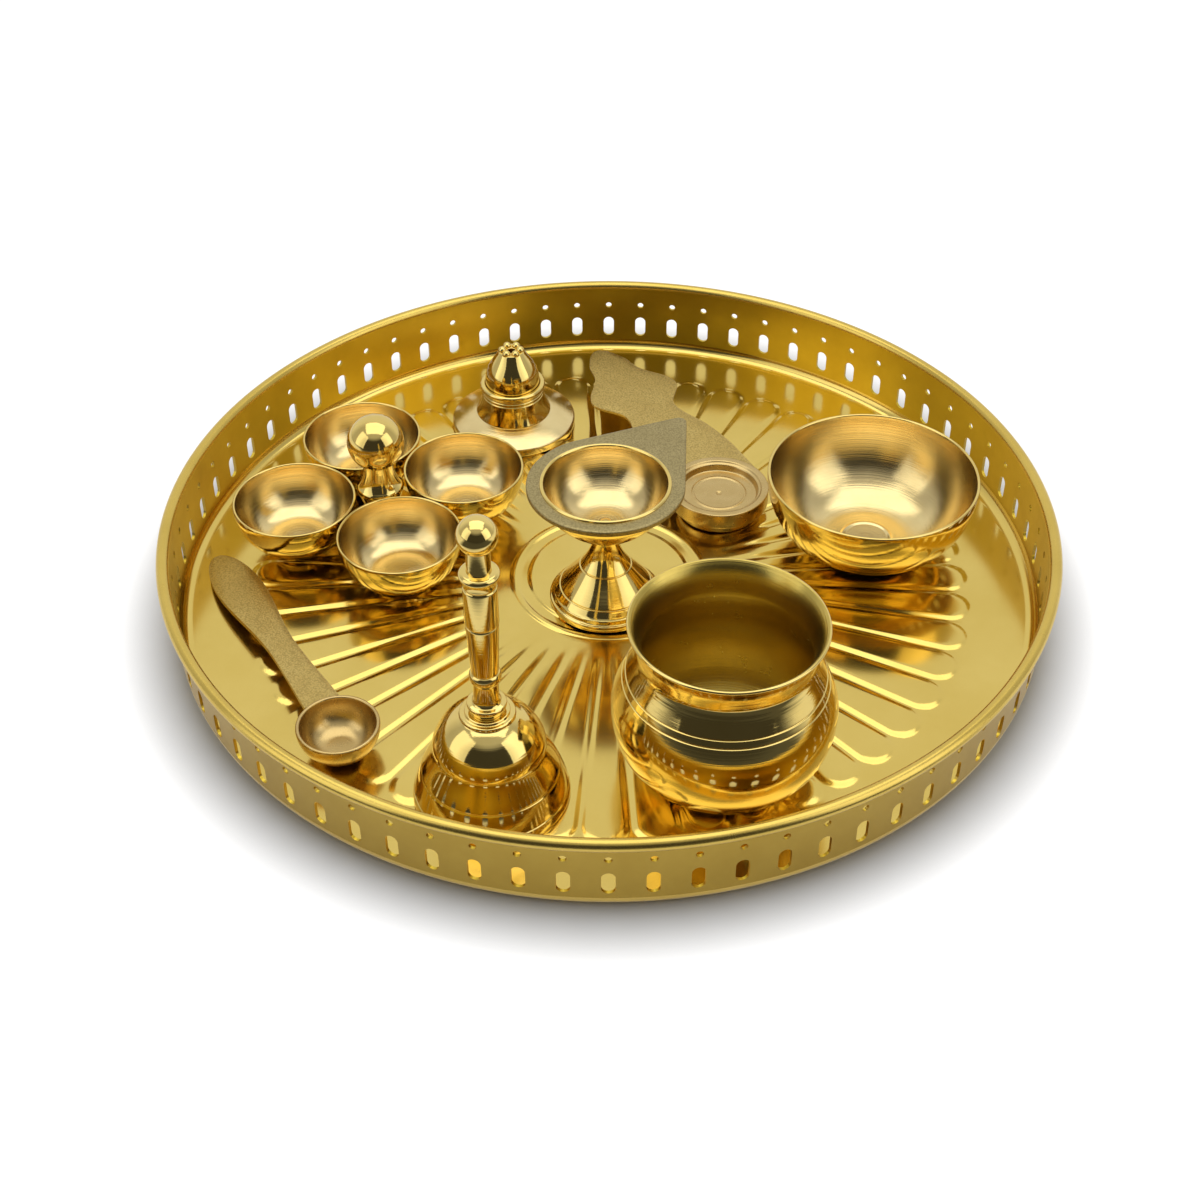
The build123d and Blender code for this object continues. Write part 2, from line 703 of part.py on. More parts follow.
def bell_eye():
    """Eye bolt: a stud through the crown, a flange under it and a ring for the clapper."""
    ring = Pos(0, 0, EYE_Z) * Rot(90, 0, 0) * Torus(EYE_R, EYE_WIRE_R)
    stud_l = EYE_FLANGE_T + BELL_WALL + EYE_STUD_L - SEAT_GAP
    bolt = peg(EYE_FLANGE_R, EYE_FLANGE_T) + peg(EYE_STUD_R, stud_l)
    return ring + Pos(0, 0, CROWN_IN_Z - EYE_FLANGE_T) * bolt


def clapper_rod():
    """Hooked rod that hangs in the eye and runs down into the bob."""
    hook_z = SWING_Z - HOOK_R
    hook = Pos(0, 0, hook_z) * Rot(0, 90, 0) * Torus(HOOK_R, HOOK_WIRE_R)
    low = BOB_Z + BOB_R - BOB_SOCKET_L + SEAT_GAP
    high = hook_z - HOOK_R
    return hook + Pos(0, 0, low) * peg(ROD_R, high - low)


def clapper_bob():
    """Round bob, bored from above for the rod."""
    socket = Pos(0, 0, BOB_R - BOB_SOCKET_L) * peg(ROD_R + SEAT_GAP, BOB_SOCKET_L)
    return Pos(0, 0, BOB_Z) * (Sphere(BOB_R) - socket)


# Spoon

def spoon_handle():
    """Flat handle along +X with a waist and a round end, sloping down from the bowl's rim."""
    root_x = SPOON_R - SPOON_WALL
    half_root = SPOON_HANDLE_ROOT_W / 2
    half_waist = SPOON_HANDLE_WAIST_W / 2
    half_end = SPOON_HANDLE_END_W / 2
    edge = Spline(
        (0, half_root),
        (SPOON_HANDLE_WAIST_X, half_waist),
        (SPOON_HANDLE_END_X, half_end),
        tangents=[(1, 0), (1, 0)],
    )
    end = EllipticalCenterArc(
        (SPOON_HANDLE_END_X, 0), SPOON_HANDLE_L - SPOON_HANDLE_END_X, half_end, -90, arc_size=180
    )
    outline = make_face((edge, end, mirror(edge, Plane.XZ), Line((0, -half_root), (0, half_root))))
    slope = degrees(atan(SPOON_HANDLE_DROP / (SPOON_HANDLE_L - root_x)))
    plate = Pos(-root_x, 0, -SPOON_HANDLE_T) * extrude(outline, SPOON_HANDLE_T)
    plate = Pos(root_x, 0, SPOON_H) * Rot(0, slope, 0) * plate
    return plate - Cylinder(root_x + SPOON_WALL / 2, 4 * SPOON_H)


def spoon():
    """One casting of a round bowl and a flat handle."""
    return bowl(SPOON_R, SPOON_FOOT_R, SPOON_FOOT_H, SPOON_H, SPOON_WALL) + spoon_handle()


def place_all():
    """Every piece by name, where it stands on the tray."""
    cups = by_wall(CUPS_AT_DEG, CUPS_WALL_GAP, CUP_RING_R + CUP_R, CUPS_TURN_DEG)
    incense = by_centre(INCENSE_AT)
    diya = by_centre(DIYA_AT, LEAF_TURN_DEG)
    bell = by_wall(BELL_AT_DEG, BELL_WALL_GAP, BELL_MOUTH_R)
    drum_z = DOME_H
    cone_z = drum_z + DRUM_H - CONE_SEAT_DROP
    tie_z = DOME_H - DOME_WALL
    pieces = {
        "thali_tray": thali_tray(),
        "katori": by_centre(KATORI_AT) * katori(),
        "lota": by_wall(LOTA_AT_DEG, LOTA_WALL_GAP, LOTA_BELLY_R) * lota(),
        "cup_cross": cups * cup_cross(),
        "cup_knob": cups * Pos(0, 0, CROSS_T) * cup_knob(),
        "cup_knob_screw": cups * screw(KNOB_SCREW_R, KNOB_SCREW_HEAD_R, KNOB_SCREW_L - SEAT_GAP),
        "incense_base": incense * incense_base(),
        "incense_drum": incense * Pos(0, 0, drum_z) * incense_drum(),
        "incense_cone": incense * Pos(0, 0, cone_z) * incense_cone(),
        "incense_tie_screw": incense
        * Pos(0, 0, tie_z)
        * screw(TIE_SCREW_R, TIE_SCREW_HEAD_R, cone_z + TIE_SCREW_GRIP - tie_z - SEAT_GAP),
        "camphor_burner": by_centre(BURNER_AT, BURNER_TURN_DEG) * camphor_burner(),
        "diya_foot": diya * diya_foot(),
        "diya_bowl": diya * Pos(0, 0, DIYA_FOOT_H) * diya_bowl(),
        "diya_rivet": diya * Pos(0, 0, DIYA_FOOT_H) * diya_rivet(),
        "bell_cup": bell * bell_cup(),
        "bell_handle": bell * Pos(0, 0, BELL_H) * bell_handle(),
        "bell_eye": bell * bell_eye(),
        "clapper_rod": bell * clapper_rod(),
        "clapper_bob": bell * clapper_bob(),
        "spoon": along_wall(SPOON_TURN_DEG, SPOON_WALL_GAP, SPOON_BACK) * spoon(),
    }
    for side, place in zip(CUP_SIDES, cup_places()):
        pieces["cup_" + side] = cups * place * Pos(0, 0, CROSS_T) * cup()
    return pieces


os.makedirs("parts", exist_ok=True)
for name, shape in place_all().items():
    export_step(shape, "parts/" + name + ".step")
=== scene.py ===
"""Looks of the puja thali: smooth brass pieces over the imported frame, in the photo's view."""
import logging
import math
from dataclasses import dataclass, field
from enum import Enum
from typing import Callable, Sequence

import bmesh
import bpy
from bmesh.types import BMesh, BMVert
from bpy.types import ID, Material, Node, NodeSocket, NodeTree, Object
from mathutils import Matrix, Vector


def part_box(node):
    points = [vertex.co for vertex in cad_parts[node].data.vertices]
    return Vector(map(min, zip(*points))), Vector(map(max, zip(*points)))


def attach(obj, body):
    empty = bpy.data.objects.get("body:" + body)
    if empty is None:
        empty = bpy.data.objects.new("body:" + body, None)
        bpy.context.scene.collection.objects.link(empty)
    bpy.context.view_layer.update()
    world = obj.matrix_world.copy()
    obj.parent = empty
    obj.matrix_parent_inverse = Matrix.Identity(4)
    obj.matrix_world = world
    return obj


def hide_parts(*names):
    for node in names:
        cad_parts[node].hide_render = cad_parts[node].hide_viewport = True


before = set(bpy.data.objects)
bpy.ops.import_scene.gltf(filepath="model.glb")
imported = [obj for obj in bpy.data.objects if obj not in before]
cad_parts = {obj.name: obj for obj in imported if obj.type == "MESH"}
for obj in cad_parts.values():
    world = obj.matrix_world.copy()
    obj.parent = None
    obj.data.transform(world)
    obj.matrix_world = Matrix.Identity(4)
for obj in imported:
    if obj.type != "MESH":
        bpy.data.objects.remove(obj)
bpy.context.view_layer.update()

LOG = logging.getLogger("thali")
MM = 0.001
# Corners of an outline past this angle are rounded
SHARP = math.radians(25)
# Edges of a mesh past this angle stay hard
CREASE = math.radians(38)
# Vertices this close are one, in metres: in a spun outline, and where two pitches meet
SAME, SEAM = 1e-7, 2e-5
NUMBER, COLOUR = "NodeSocketFloat", "NodeSocketColor"
Point = tuple[float, float]
Outline = Sequence[Point]
Colour = tuple[float, float, float]


# Outlines, in millimetres

def arc(centre: Point, radii: Point, start: float, end: float, steps: int = 16) -> list[Point]:
    """Points of an elliptical arc.

    Args:
        centre: Centre of the ellipse.
        radii: Its two half axes.
        start: First angle in degrees.
        end: Last angle in degrees.
        steps: Number of chords.

    Returns:
        The points, both ends among them.
    """
    angles = [math.radians(start + (end - start) * k / steps) for k in range(steps + 1)]
    return [(centre[0] + radii[0] * math.cos(a), centre[1] + radii[1] * math.sin(a)) for a in angles]


def flow(points: Outline, start: Point, end: Point, steps: int = 10) -> list[Point]:
    """Smooth curve through points.

    Args:
        points: Points on the curve.
        start: Direction at the first point.
        end: Direction at the last point.
        steps: Chords between neighbouring points.

    Returns:
        The points of the curve, both ends among them.
    """
    knots = [Vector(p) for p in points]
    ways = [Vector(start)] + [c - a for a, c in zip(knots, knots[2:])] + [Vector(end)]
    out: list[Point] = []
    for a, b, from_a, to_b in zip(knots, knots[1:], ways, ways[1:]):
        chord = (b - a).length
        for k in range(steps):
            t = k / steps
            spot = a * (2 * t**3 - 3 * t**2 + 1) + b * (3 * t**2 - 2 * t**3)
            bend = from_a.normalized() * chord * (t**3 - 2 * t**2 + t)
            spot += bend + to_b.normalized() * chord * (t**3 - t**2)
            out.append((spot.x, spot.y))
    return out + [points[-1]]


def inset(outline: Outline, wall: float) -> list[Point]:
    """Outline that runs a wall's thickness to the left of another.

    Args:
        outline: The outer outline.
        wall: Thickness of the wall.

    Returns:
        One point for each point of the outline.
    """
    out: list[Point] = []
    for k, spot in enumerate(outline):
        before = Vector(outline[max(k - 1, 0)])
        after = Vector(outline[min(k + 1, len(outline) - 1)])
        way = (after - before).normalized()
        out.append((max(spot[0] - way.y * wall, 0.0), spot[1] + way.x * wall))
    return out


def soften(outline: Outline, radius: float, steps: int = 3) -> list[Point]:
    """Rounds the sharp corners of an open outline.

    Args:
        outline: The outline.
        radius: Length cut back on each side of a corner.
        steps: Chords in each rounded corner.

    Returns:
        The rounded outline.
    """
    most = 0.45
    out = [outline[0]]
    for a, b, c in zip(outline, outline[1:], outline[2:]):
        corner = Vector(b)
        into, away = corner - Vector(a), Vector(c) - corner
        if min(into.length, away.length) < 1e-6:
            continue
        if into.angle(away) < SHARP:
            out.append(b)
            continue
        first = corner - into.normalized() * min(radius, into.length * most)
        last = corner + away.normalized() * min(radius, away.length * most)
        for k in range(steps + 1):
            t = k / steps
            spot = first * (1 - t) ** 2 + corner * (2 * t * (1 - t)) + last * t**2
            out.append((spot.x, spot.y))
    return out + [outline[-1]]


def groove(outline: Outline, share: float, depth: float, width: float) -> list[Point]:
    """Cuts a turned line into an outline.

    Args:
        outline: The outline.
        share: Where the line lies, as a share of the outline's length.
        depth: Depth of the line, to the left of the outline.
        width: Width of the line.

    Returns:
        The outline with the line's points in it.
    """
    spots = [Vector(p) for p in outline]
    lengths = [0.0]
    for a, b in zip(spots, spots[1:]):
        lengths.append(lengths[-1] + (b - a).length)
    middle = share * lengths[-1]

    def spot_at(length: float, sink: float) -> Point:
        """Point at a length along the outline, sunk to its left."""
        k = next(i for i in range(1, len(spots)) if lengths[i] >= length or i == len(spots) - 1)
        way = (spots[k] - spots[k - 1]).normalized()
        spot = spots[k - 1] + way * (length - lengths[k - 1])
        return (spot.x - way.y * sink, spot.y + way.x * sink)

    shares, clear = (-0.5, -0.3, -0.1, 0.1, 0.3, 0.5), 0.02
    cut = [spot_at(middle + width * t, depth * (1 - 4 * t * t)) for t in shares]
    before = [p for p, s in zip(outline, lengths) if s < middle - width / 2 - clear]
    after = [p for p, s in zip(outline, lengths) if s > middle + width / 2 + clear]
    return before + cut + after


def smooth(low: float, high: float, value: float) -> float:
    """Soft step from 0 at low to 1 at high.

    Args:
        low: Value where the step starts.
        high: Value where it ends. It may be less than low.
        value: Value to weigh.

    Returns:
        A number from 0 to 1.
    """
    t = min(max((value - low) / (high - low), 0.0), 1.0)
    return t * t * (3 - 2 * t)


# Finishes

class Slot(Enum):
    """Material slots of the record. No piece here takes them."""

    TRAY = "tray_brass"
    BOWL = "bowl_brass"
    TURNED = "turned_brass"
    CAST = "cast_brass"


class Graph:
    """Short way to write a node tree."""

    def __init__(self, tree: NodeTree) -> None:
        """Keeps the node tree that is written to."""
        self.tree = tree

    def feed(self, socket: NodeSocket, value: object) -> None:
        """Links an input, or sets its value.

        Args:
            socket: The input.
            value: Value, or socket to link it to.
        """
        if isinstance(value, NodeSocket):
            self.tree.links.new(value, socket)
        else:
            socket.default_value = value

    def add(self, kind: str, settings: dict | None = None, **inputs: object) -> Node:
        """Adds a node.

        Args:
            kind: Node type without its ShaderNode prefix.
            settings: Properties of the node.
            inputs: Values or sockets by input name, with underscores for blanks.

        Returns:
            The new node.
        """
        node = self.tree.nodes.new("ShaderNode" + kind)
        for name, value in (settings or {}).items():
            setattr(node, name, value)
        for name, value in inputs.items():
            self.feed(node.inputs[name.replace("_", " ")], value)
        return node

    def blend(self, share: NodeSocket, first: object, second: object) -> NodeSocket:
        """Mixes two colours.

        Args:
            share: Share of the second colour.
            first: Colour or socket.
            second: Colour or socket.

        Returns:
            Socket with the mixed colour.
        """
        node = self.add("Mix", {"data_type": "RGBA"})
        for k, value in ((0, share), (6, first), (7, second)):
            self.feed(node.inputs[k], value)
        return node.outputs[2]

    def maths(self, operation: str, first: object, second: object) -> NodeSocket:
        """Adds a maths node.

        Args:
            operation: Name of the operation.
            first: Value or socket.
            second: Value or socket.

        Returns:
            Socket with the result.
        """
        node = self.add("Math", {"operation": operation})
        for k, value in enumerate((first, second)):
            self.feed(node.inputs[k], value)
        return node.outputs[0]

    def ramp(self, value: NodeSocket, low: float, high: float, top: float = 1.0) -> NodeSocket:
        """Adds a ramp from 0 at low to its top at high, level beyond both."""
        node = self.add("MapRange", None, Value=value, From_Min=low, From_Max=high, To_Max=top)
        return node.outputs[0]


def new_group(name: str, inputs: dict[str, str], outputs: dict[str, str]) -> NodeTree:
    """Makes an empty shader node group.

    Args:
        name: Name of the group.
        inputs: Socket type of each input by name.
        outputs: Socket type of each output by name.

    Returns:
        The group with its input and output nodes.
    """
    tree = bpy.data.node_groups.new(name, "ShaderNodeTree")
    for way, sockets in (("INPUT", inputs), ("OUTPUT", outputs)):
        for label, kind in sockets.items():
            tree.interface.new_socket(label, in_out=way, socket_type=kind)
    tree.nodes.new("NodeGroupInput")
    tree.nodes.new("NodeGroupOutput")
    return tree


def tone_group() -> NodeTree:
    """Mottled brass colour and a roughness that wanders.

    Returns:
        The node group.
    """
    tree = new_group(
        "brass_tone",
        {"Light": COLOUR, "Dark": COLOUR, "Scale": NUMBER, "Rough": NUMBER, "Spread": NUMBER},
        {"Color": COLOUR, "Roughness": NUMBER},
    )
    graph = Graph(tree)
    given = tree.nodes["Group Input"].outputs
    out = tree.nodes["Group Output"].inputs
    where = graph.add("TexCoord").outputs["Object"]
    scale = given["Scale"]
    cloud = graph.add("TexNoise", None, Vector=where, Scale=scale, Detail=5.0, Roughness=0.6)
    share = graph.ramp(cloud.outputs[0], 0.35, 0.7)
    graph.feed(out["Color"], graph.blend(share, given["Light"], given["Dark"]))
    scale = graph.maths("MULTIPLY", scale, 4.0)
    fine = graph.add("TexNoise", None, Vector=where, Scale=scale, Detail=6.0, Roughness=0.7)
    wander = graph.maths("SUBTRACT", fine.outputs[0], 0.5)
    wander = graph.maths("MULTIPLY", wander, given["Spread"])
    graph.feed(out["Roughness"], graph.maths("ADD", given["Rough"], wander))
    return tree


def turning_group() -> NodeTree:
    """Fine tool marks round a turned piece, by the length along its outline.

    Returns:
        The node group.
    """
    tree = new_group("turning_marks", {"Pitch": NUMBER}, {"Height": NUMBER})
    graph = Graph(tree)
    length = graph.add("Attribute", {"attribute_name": "turning"}).outputs["Fac"]
    row = graph.maths("DIVIDE", length, tree.nodes["Group Input"].outputs["Pitch"])
    line = {"noise_dimensions": "1D"}
    marks = graph.add("TexNoise", line, W=row, Scale=1.0, Detail=3.0, Roughness=0.65)
    graph.feed(tree.nodes["Group Output"].inputs["Height"], marks.outputs[0])
    return tree


def grain_group() -> NodeTree:
    """Sand-cast grain: its height, and a mask of its pits.

    Returns:
        The node group.
    """
    tree = new_group("cast_grain", {"Scale": NUMBER}, {"Height": NUMBER, "Pits": NUMBER})
    graph = Graph(tree)
    scale = tree.nodes["Group Input"].outputs["Scale"]
    out = tree.nodes["Group Output"].inputs
    where = graph.add("TexCoord").outputs["Object"]
    soft = {"feature": "SMOOTH_F1"}
    cells = graph.add("TexVoronoi", soft, Vector=where, Scale=scale, Smoothness=0.4)
    scale = graph.maths("MULTIPLY", scale, 0.7)
    noise = graph.add("TexNoise", None, Vector=where, Scale=scale, Detail=4.0, Roughness=0.7)
    rough = graph.maths("MULTIPLY", noise.outputs[0], 0.9)
    height = graph.maths("ADD", cells.outputs["Distance"], rough)
    graph.feed(out["Height"], height)
    graph.feed(out["Pits"], graph.ramp(height, 0.8, 1.15))
    return tree


@dataclass(frozen=True)
class Finish:
    """One brass finish.

    Attributes:
        name: Name of the material.
        light: Main colour.
        dark: Colour of the mottling.
        rough: Mean roughness.
        spread: How far the roughness wanders.
        scale: Scale of the mottling, per metre.
        marks: Depth of turning marks in metres. A finish with marks has no grain.
        pitch: Pitch of turning marks in millimetres.
        grain: Depth of cast grain in metres.
        grain_scale: Scale of cast grain, per metre.
        pit: Shade of the grain's pits, as a share of the dark colour.
    """

    name: str
    light: Colour
    dark: Colour
    rough: float
    spread: float
    scale: float
    marks: float = 0.0
    pitch: float = 0.5
    grain: float = 0.0
    grain_scale: float = 1700.0
    pit: float = 0.8

    def material(self) -> Material:
        """Builds the finish, or finds it if it is built.

        Returns:
            The material.
        """
        if self.name in bpy.data.materials:
            return bpy.data.materials[self.name]
        paint = bpy.data.materials.new(self.name)
        paint.use_nodes = True
        graph = Graph(paint.node_tree)
        shader = paint.node_tree.nodes["Principled BSDF"].inputs
        shader["Metallic"].default_value = 1.0
        tone = self._group(
            graph, "brass_tone", tone_group, Light=(*self.light, 1.0), Dark=(*self.dark, 1.0),
            Scale=self.scale, Rough=self.rough, Spread=self.spread,
        )
        colour, relief = tone.outputs["Color"], None
        if self.marks:
            relief = self._group(graph, "turning_marks", turning_group, Pitch=self.pitch)
        elif self.grain:
            relief = self._group(graph, "cast_grain", grain_group, Scale=self.grain_scale)
            pit_colour = (*(c * self.pit for c in self.dark), 1.0)
            colour = graph.blend(relief.outputs["Pits"], colour, pit_colour)
        if relief is not None:
            depth = self.marks or self.grain
            bump = graph.add("Bump", None, Height=relief.outputs["Height"], Distance=depth)
            graph.feed(shader["Normal"], bump.outputs["Normal"])
        graph.feed(shader["Base Color"], colour)
        graph.feed(shader["Roughness"], tone.outputs["Roughness"])
        return paint

    @staticmethod
    def _group(graph: Graph, name: str, maker: Callable[[], NodeTree], **inputs: object) -> Node:
        """Adds a shared node group with its own values. Its maker builds it the first time."""
        tree = bpy.data.node_groups.get(name) or maker()
        return graph.add("Group", {"node_tree": tree}, **inputs)


SHEET = Finish("mirror_sheet", (0.83, 0.62, 0.17), (0.77, 0.56, 0.135), 0.15, 0.06, 25.0)
RIM = Finish("rolled_rim", (0.76, 0.55, 0.13), (0.69, 0.49, 0.105), 0.27, 0.03, 40.0)
# Darker copy of the sheet's brass for the wall's inner face: painted shade where it turns from the light
SHADED_WALL_INSIDE = Finish("wall_inside_painted_shade", (0.72, 0.52, 0.06), (0.62, 0.43, 0.045), 0.34, 0.08, 40.0)
# The outer wall is brushed, with turning marks, and its colour is darkened well below the sheet's as
# painted shade
BRUSHED_AND_SHADED = Finish("brushed_wall_painted_shade", (0.51, 0.35, 0.07), (0.45, 0.30, 0.055), 0.3, 0.1, 40.0, 4e-5, 0.4)
POLISHED = Finish(
    "polished_turning", (0.88, 0.675, 0.23), (0.81, 0.60, 0.185), 0.08, 0.05, 50.0, 1.5e-5, 0.9
)
SATIN = Finish("satin_turning", (0.88, 0.70, 0.34), (0.80, 0.61, 0.27), 0.16, 0.08, 60.0, 4e-5, 0.5)
# Darker copy of the turned brass for the lota's inside: painted shade in the pot's hollow
SHADED_POT_INSIDE = Finish("pot_inside_painted_shade", (0.66, 0.50, 0.13), (0.56, 0.41, 0.09), 0.26, 0.08, 60.0, 6e-5, 0.6)
BRONZE = Finish("smooth_bronze", (0.66, 0.485, 0.205), (0.58, 0.41, 0.155), 0.28, 0.08, 120.0, 1e-5, 0.5)
GRAINED = Finish(
    "grained_bronze", (0.68, 0.505, 0.165), (0.60, 0.425, 0.125), 0.34, 0.12, 120.0, grain=8e-5
)
CAST = Finish("sand_cast_brass", (0.46, 0.37, 0.17), (0.40, 0.32, 0.14), 0.4, 0.12, 120.0, grain=7e-5)
FITTING = Finish("plain_fitting", (0.74, 0.54, 0.20), (0.60, 0.42, 0.13), 0.3, 0.1, 200.0)


# Meshes

@dataclass(frozen=True)
class Place:
    """Where a CAD node stands, in millimetres.

    Attributes:
        x: Middle along X.
        y: Middle along Y.
        low: Lowest point.
        high: Highest point.
        radius: Half the width along X.
    """

    x: float
    y: float
    low: float
    high: float
    radius: float

    @classmethod
    def of(cls, node: str) -> "Place":
        """Reads the box of a CAD node.

        Args:
            node: Name of the node.

        Returns:
            Its place.
        """
        low, high = ([side / MM for side in corner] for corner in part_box(node))
        x, y = ((low[k] + high[k]) / 2 for k in range(2))
        return cls(x, y, low[2], high[2], (high[0] - low[0]) / 2)

    def matrix(self, turn: float = 0.0) -> Matrix:
        """Transform to the row frame in metres, with a turn about Z in degrees."""
        spot = Vector((self.x, self.y, self.low)) * MM
        return Matrix.Translation(spot) @ Matrix.Rotation(math.radians(turn), 4, "Z")


def spun(outline: Outline, steps: int, closed: bool = False, turns: int = 1) -> BMesh:
    """Spins an outline about the Z axis.

    Args:
        outline: Radius and height of each point, in millimetres.
        steps: Steps in the sweep.
        closed: Whether the last point joins the first.
        turns: How many sweeps make a full turn.

    Returns:
        The mesh, in metres, with the length along the outline on each vertex.
    """
    mesh = bmesh.new()
    layer = mesh.verts.layers.float.new("turning")
    length = 0.0
    verts: list[BMVert] = []
    for k, (radius, height) in enumerate(outline):
        length += math.dist(outline[k - 1], outline[k]) if k else 0.0
        vert = mesh.verts.new((radius * MM, 0.0, height * MM))
        vert[layer] = length
        verts.append(vert)
    edges = [mesh.edges.new(pair) for pair in zip(verts, verts[1:])]
    if closed:
        edges.append(mesh.edges.new((verts[-1], verts[0])))
    bmesh.ops.spin(
        mesh, geom=verts + edges, cent=(0, 0, 0), axis=(0, 0, 1), angle=2 * math.pi / turns, steps=steps,
        use_merge=turns == 1,
    )
    bmesh.ops.remove_doubles(mesh, verts=mesh.verts, dist=SAME)
    bmesh.ops.recalc_face_normals(mesh, faces=mesh.faces)
    return mesh


def repeat(mesh: BMesh, count: int) -> None:
    """Repeats one pitch of a mesh all the way round the Z axis.

    Args:
        mesh: The mesh, one pitch wide.
        count: How many pitches make a full turn.
    """
    bmesh.ops.spin(
        mesh, geom=mesh.faces[:], cent=(0, 0, 0), axis=(0, 0, 1), angle=2 * math.pi * (1 - 1 / count),
        steps=count - 1, use_duplicate=True,
    )
    bmesh.ops.remove_doubles(mesh, verts=mesh.verts, dist=SEAM)
    bmesh.ops.recalc_face_normals(mesh, faces=mesh.faces)


def shown(name: str, data: ID) -> Object:
    """Adds an object to the scene.

    Args:
        name: Name of the object.
        data: Its mesh, light or camera.

    Returns:
        The object.
    """
    made = bpy.data.objects.new(name, data)
    bpy.context.scene.collection.objects.link(made)
    return made


def piece(
    name: str,
    mesh: BMesh,
    body: str,
    finishes: Sequence[Finish],
    nodes: Sequence[str] = (),
    move: Matrix | None = None,
    inner: Callable[[Vector], bool] | None = None,
) -> None:
    """Makes an object of a mesh and ties it to its CAD body.

    Args:
        name: Name of the piece.
        mesh: Its mesh. It is freed here.
        body: CAD body it rides.
        finishes: One finish, or an outer and an inner one.
        nodes: CAD nodes the piece stands for.
        move: Transform to the row frame.
        inner: Tells by a face's centre, in the piece's own frame, whether it takes the second finish.
    """
    for face in mesh.faces:
        face.smooth = True
        if inner is not None and inner(face.calc_center_median() / MM):
            face.material_index = 1
    for edge in mesh.edges:
        edge.smooth = edge.calc_face_angle(0.0) < CREASE
    if move is not None:
        bmesh.ops.transform(mesh, matrix=move, verts=mesh.verts)
    data = bpy.data.meshes.new(name)
    mesh.to_mesh(data)
    mesh.free()
    for finish in finishes:
        data.materials.append(finish.material())
    made = shown(name, data)
    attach(made, body)
    if nodes:
        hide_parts(*nodes)
    LOG.info("made %s on %s", name, body)


def turned(
    node: str, outline: Outline, body: str, steps: int = 96, finish: Finish = POLISHED
) -> None:
    """Builds a turned piece where its CAD node stands.

    Args:
        node: CAD node it stands for.
        outline: Its outline.
        body: CAD body it rides.
        steps: Steps round it.
        finish: Its finish.
    """
    mesh = spun(outline, steps)
    piece(node, mesh, body, [finish], [node], Place.of(node).matrix())


def paint_node(node: str, finish: Finish) -> None:
    """Gives a CAD node a finish.

    Args:
        node: Name of the node.
        finish: The finish.
    """
    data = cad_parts[node].data
    data.materials.clear()
    data.materials.append(finish.material())


# Tray

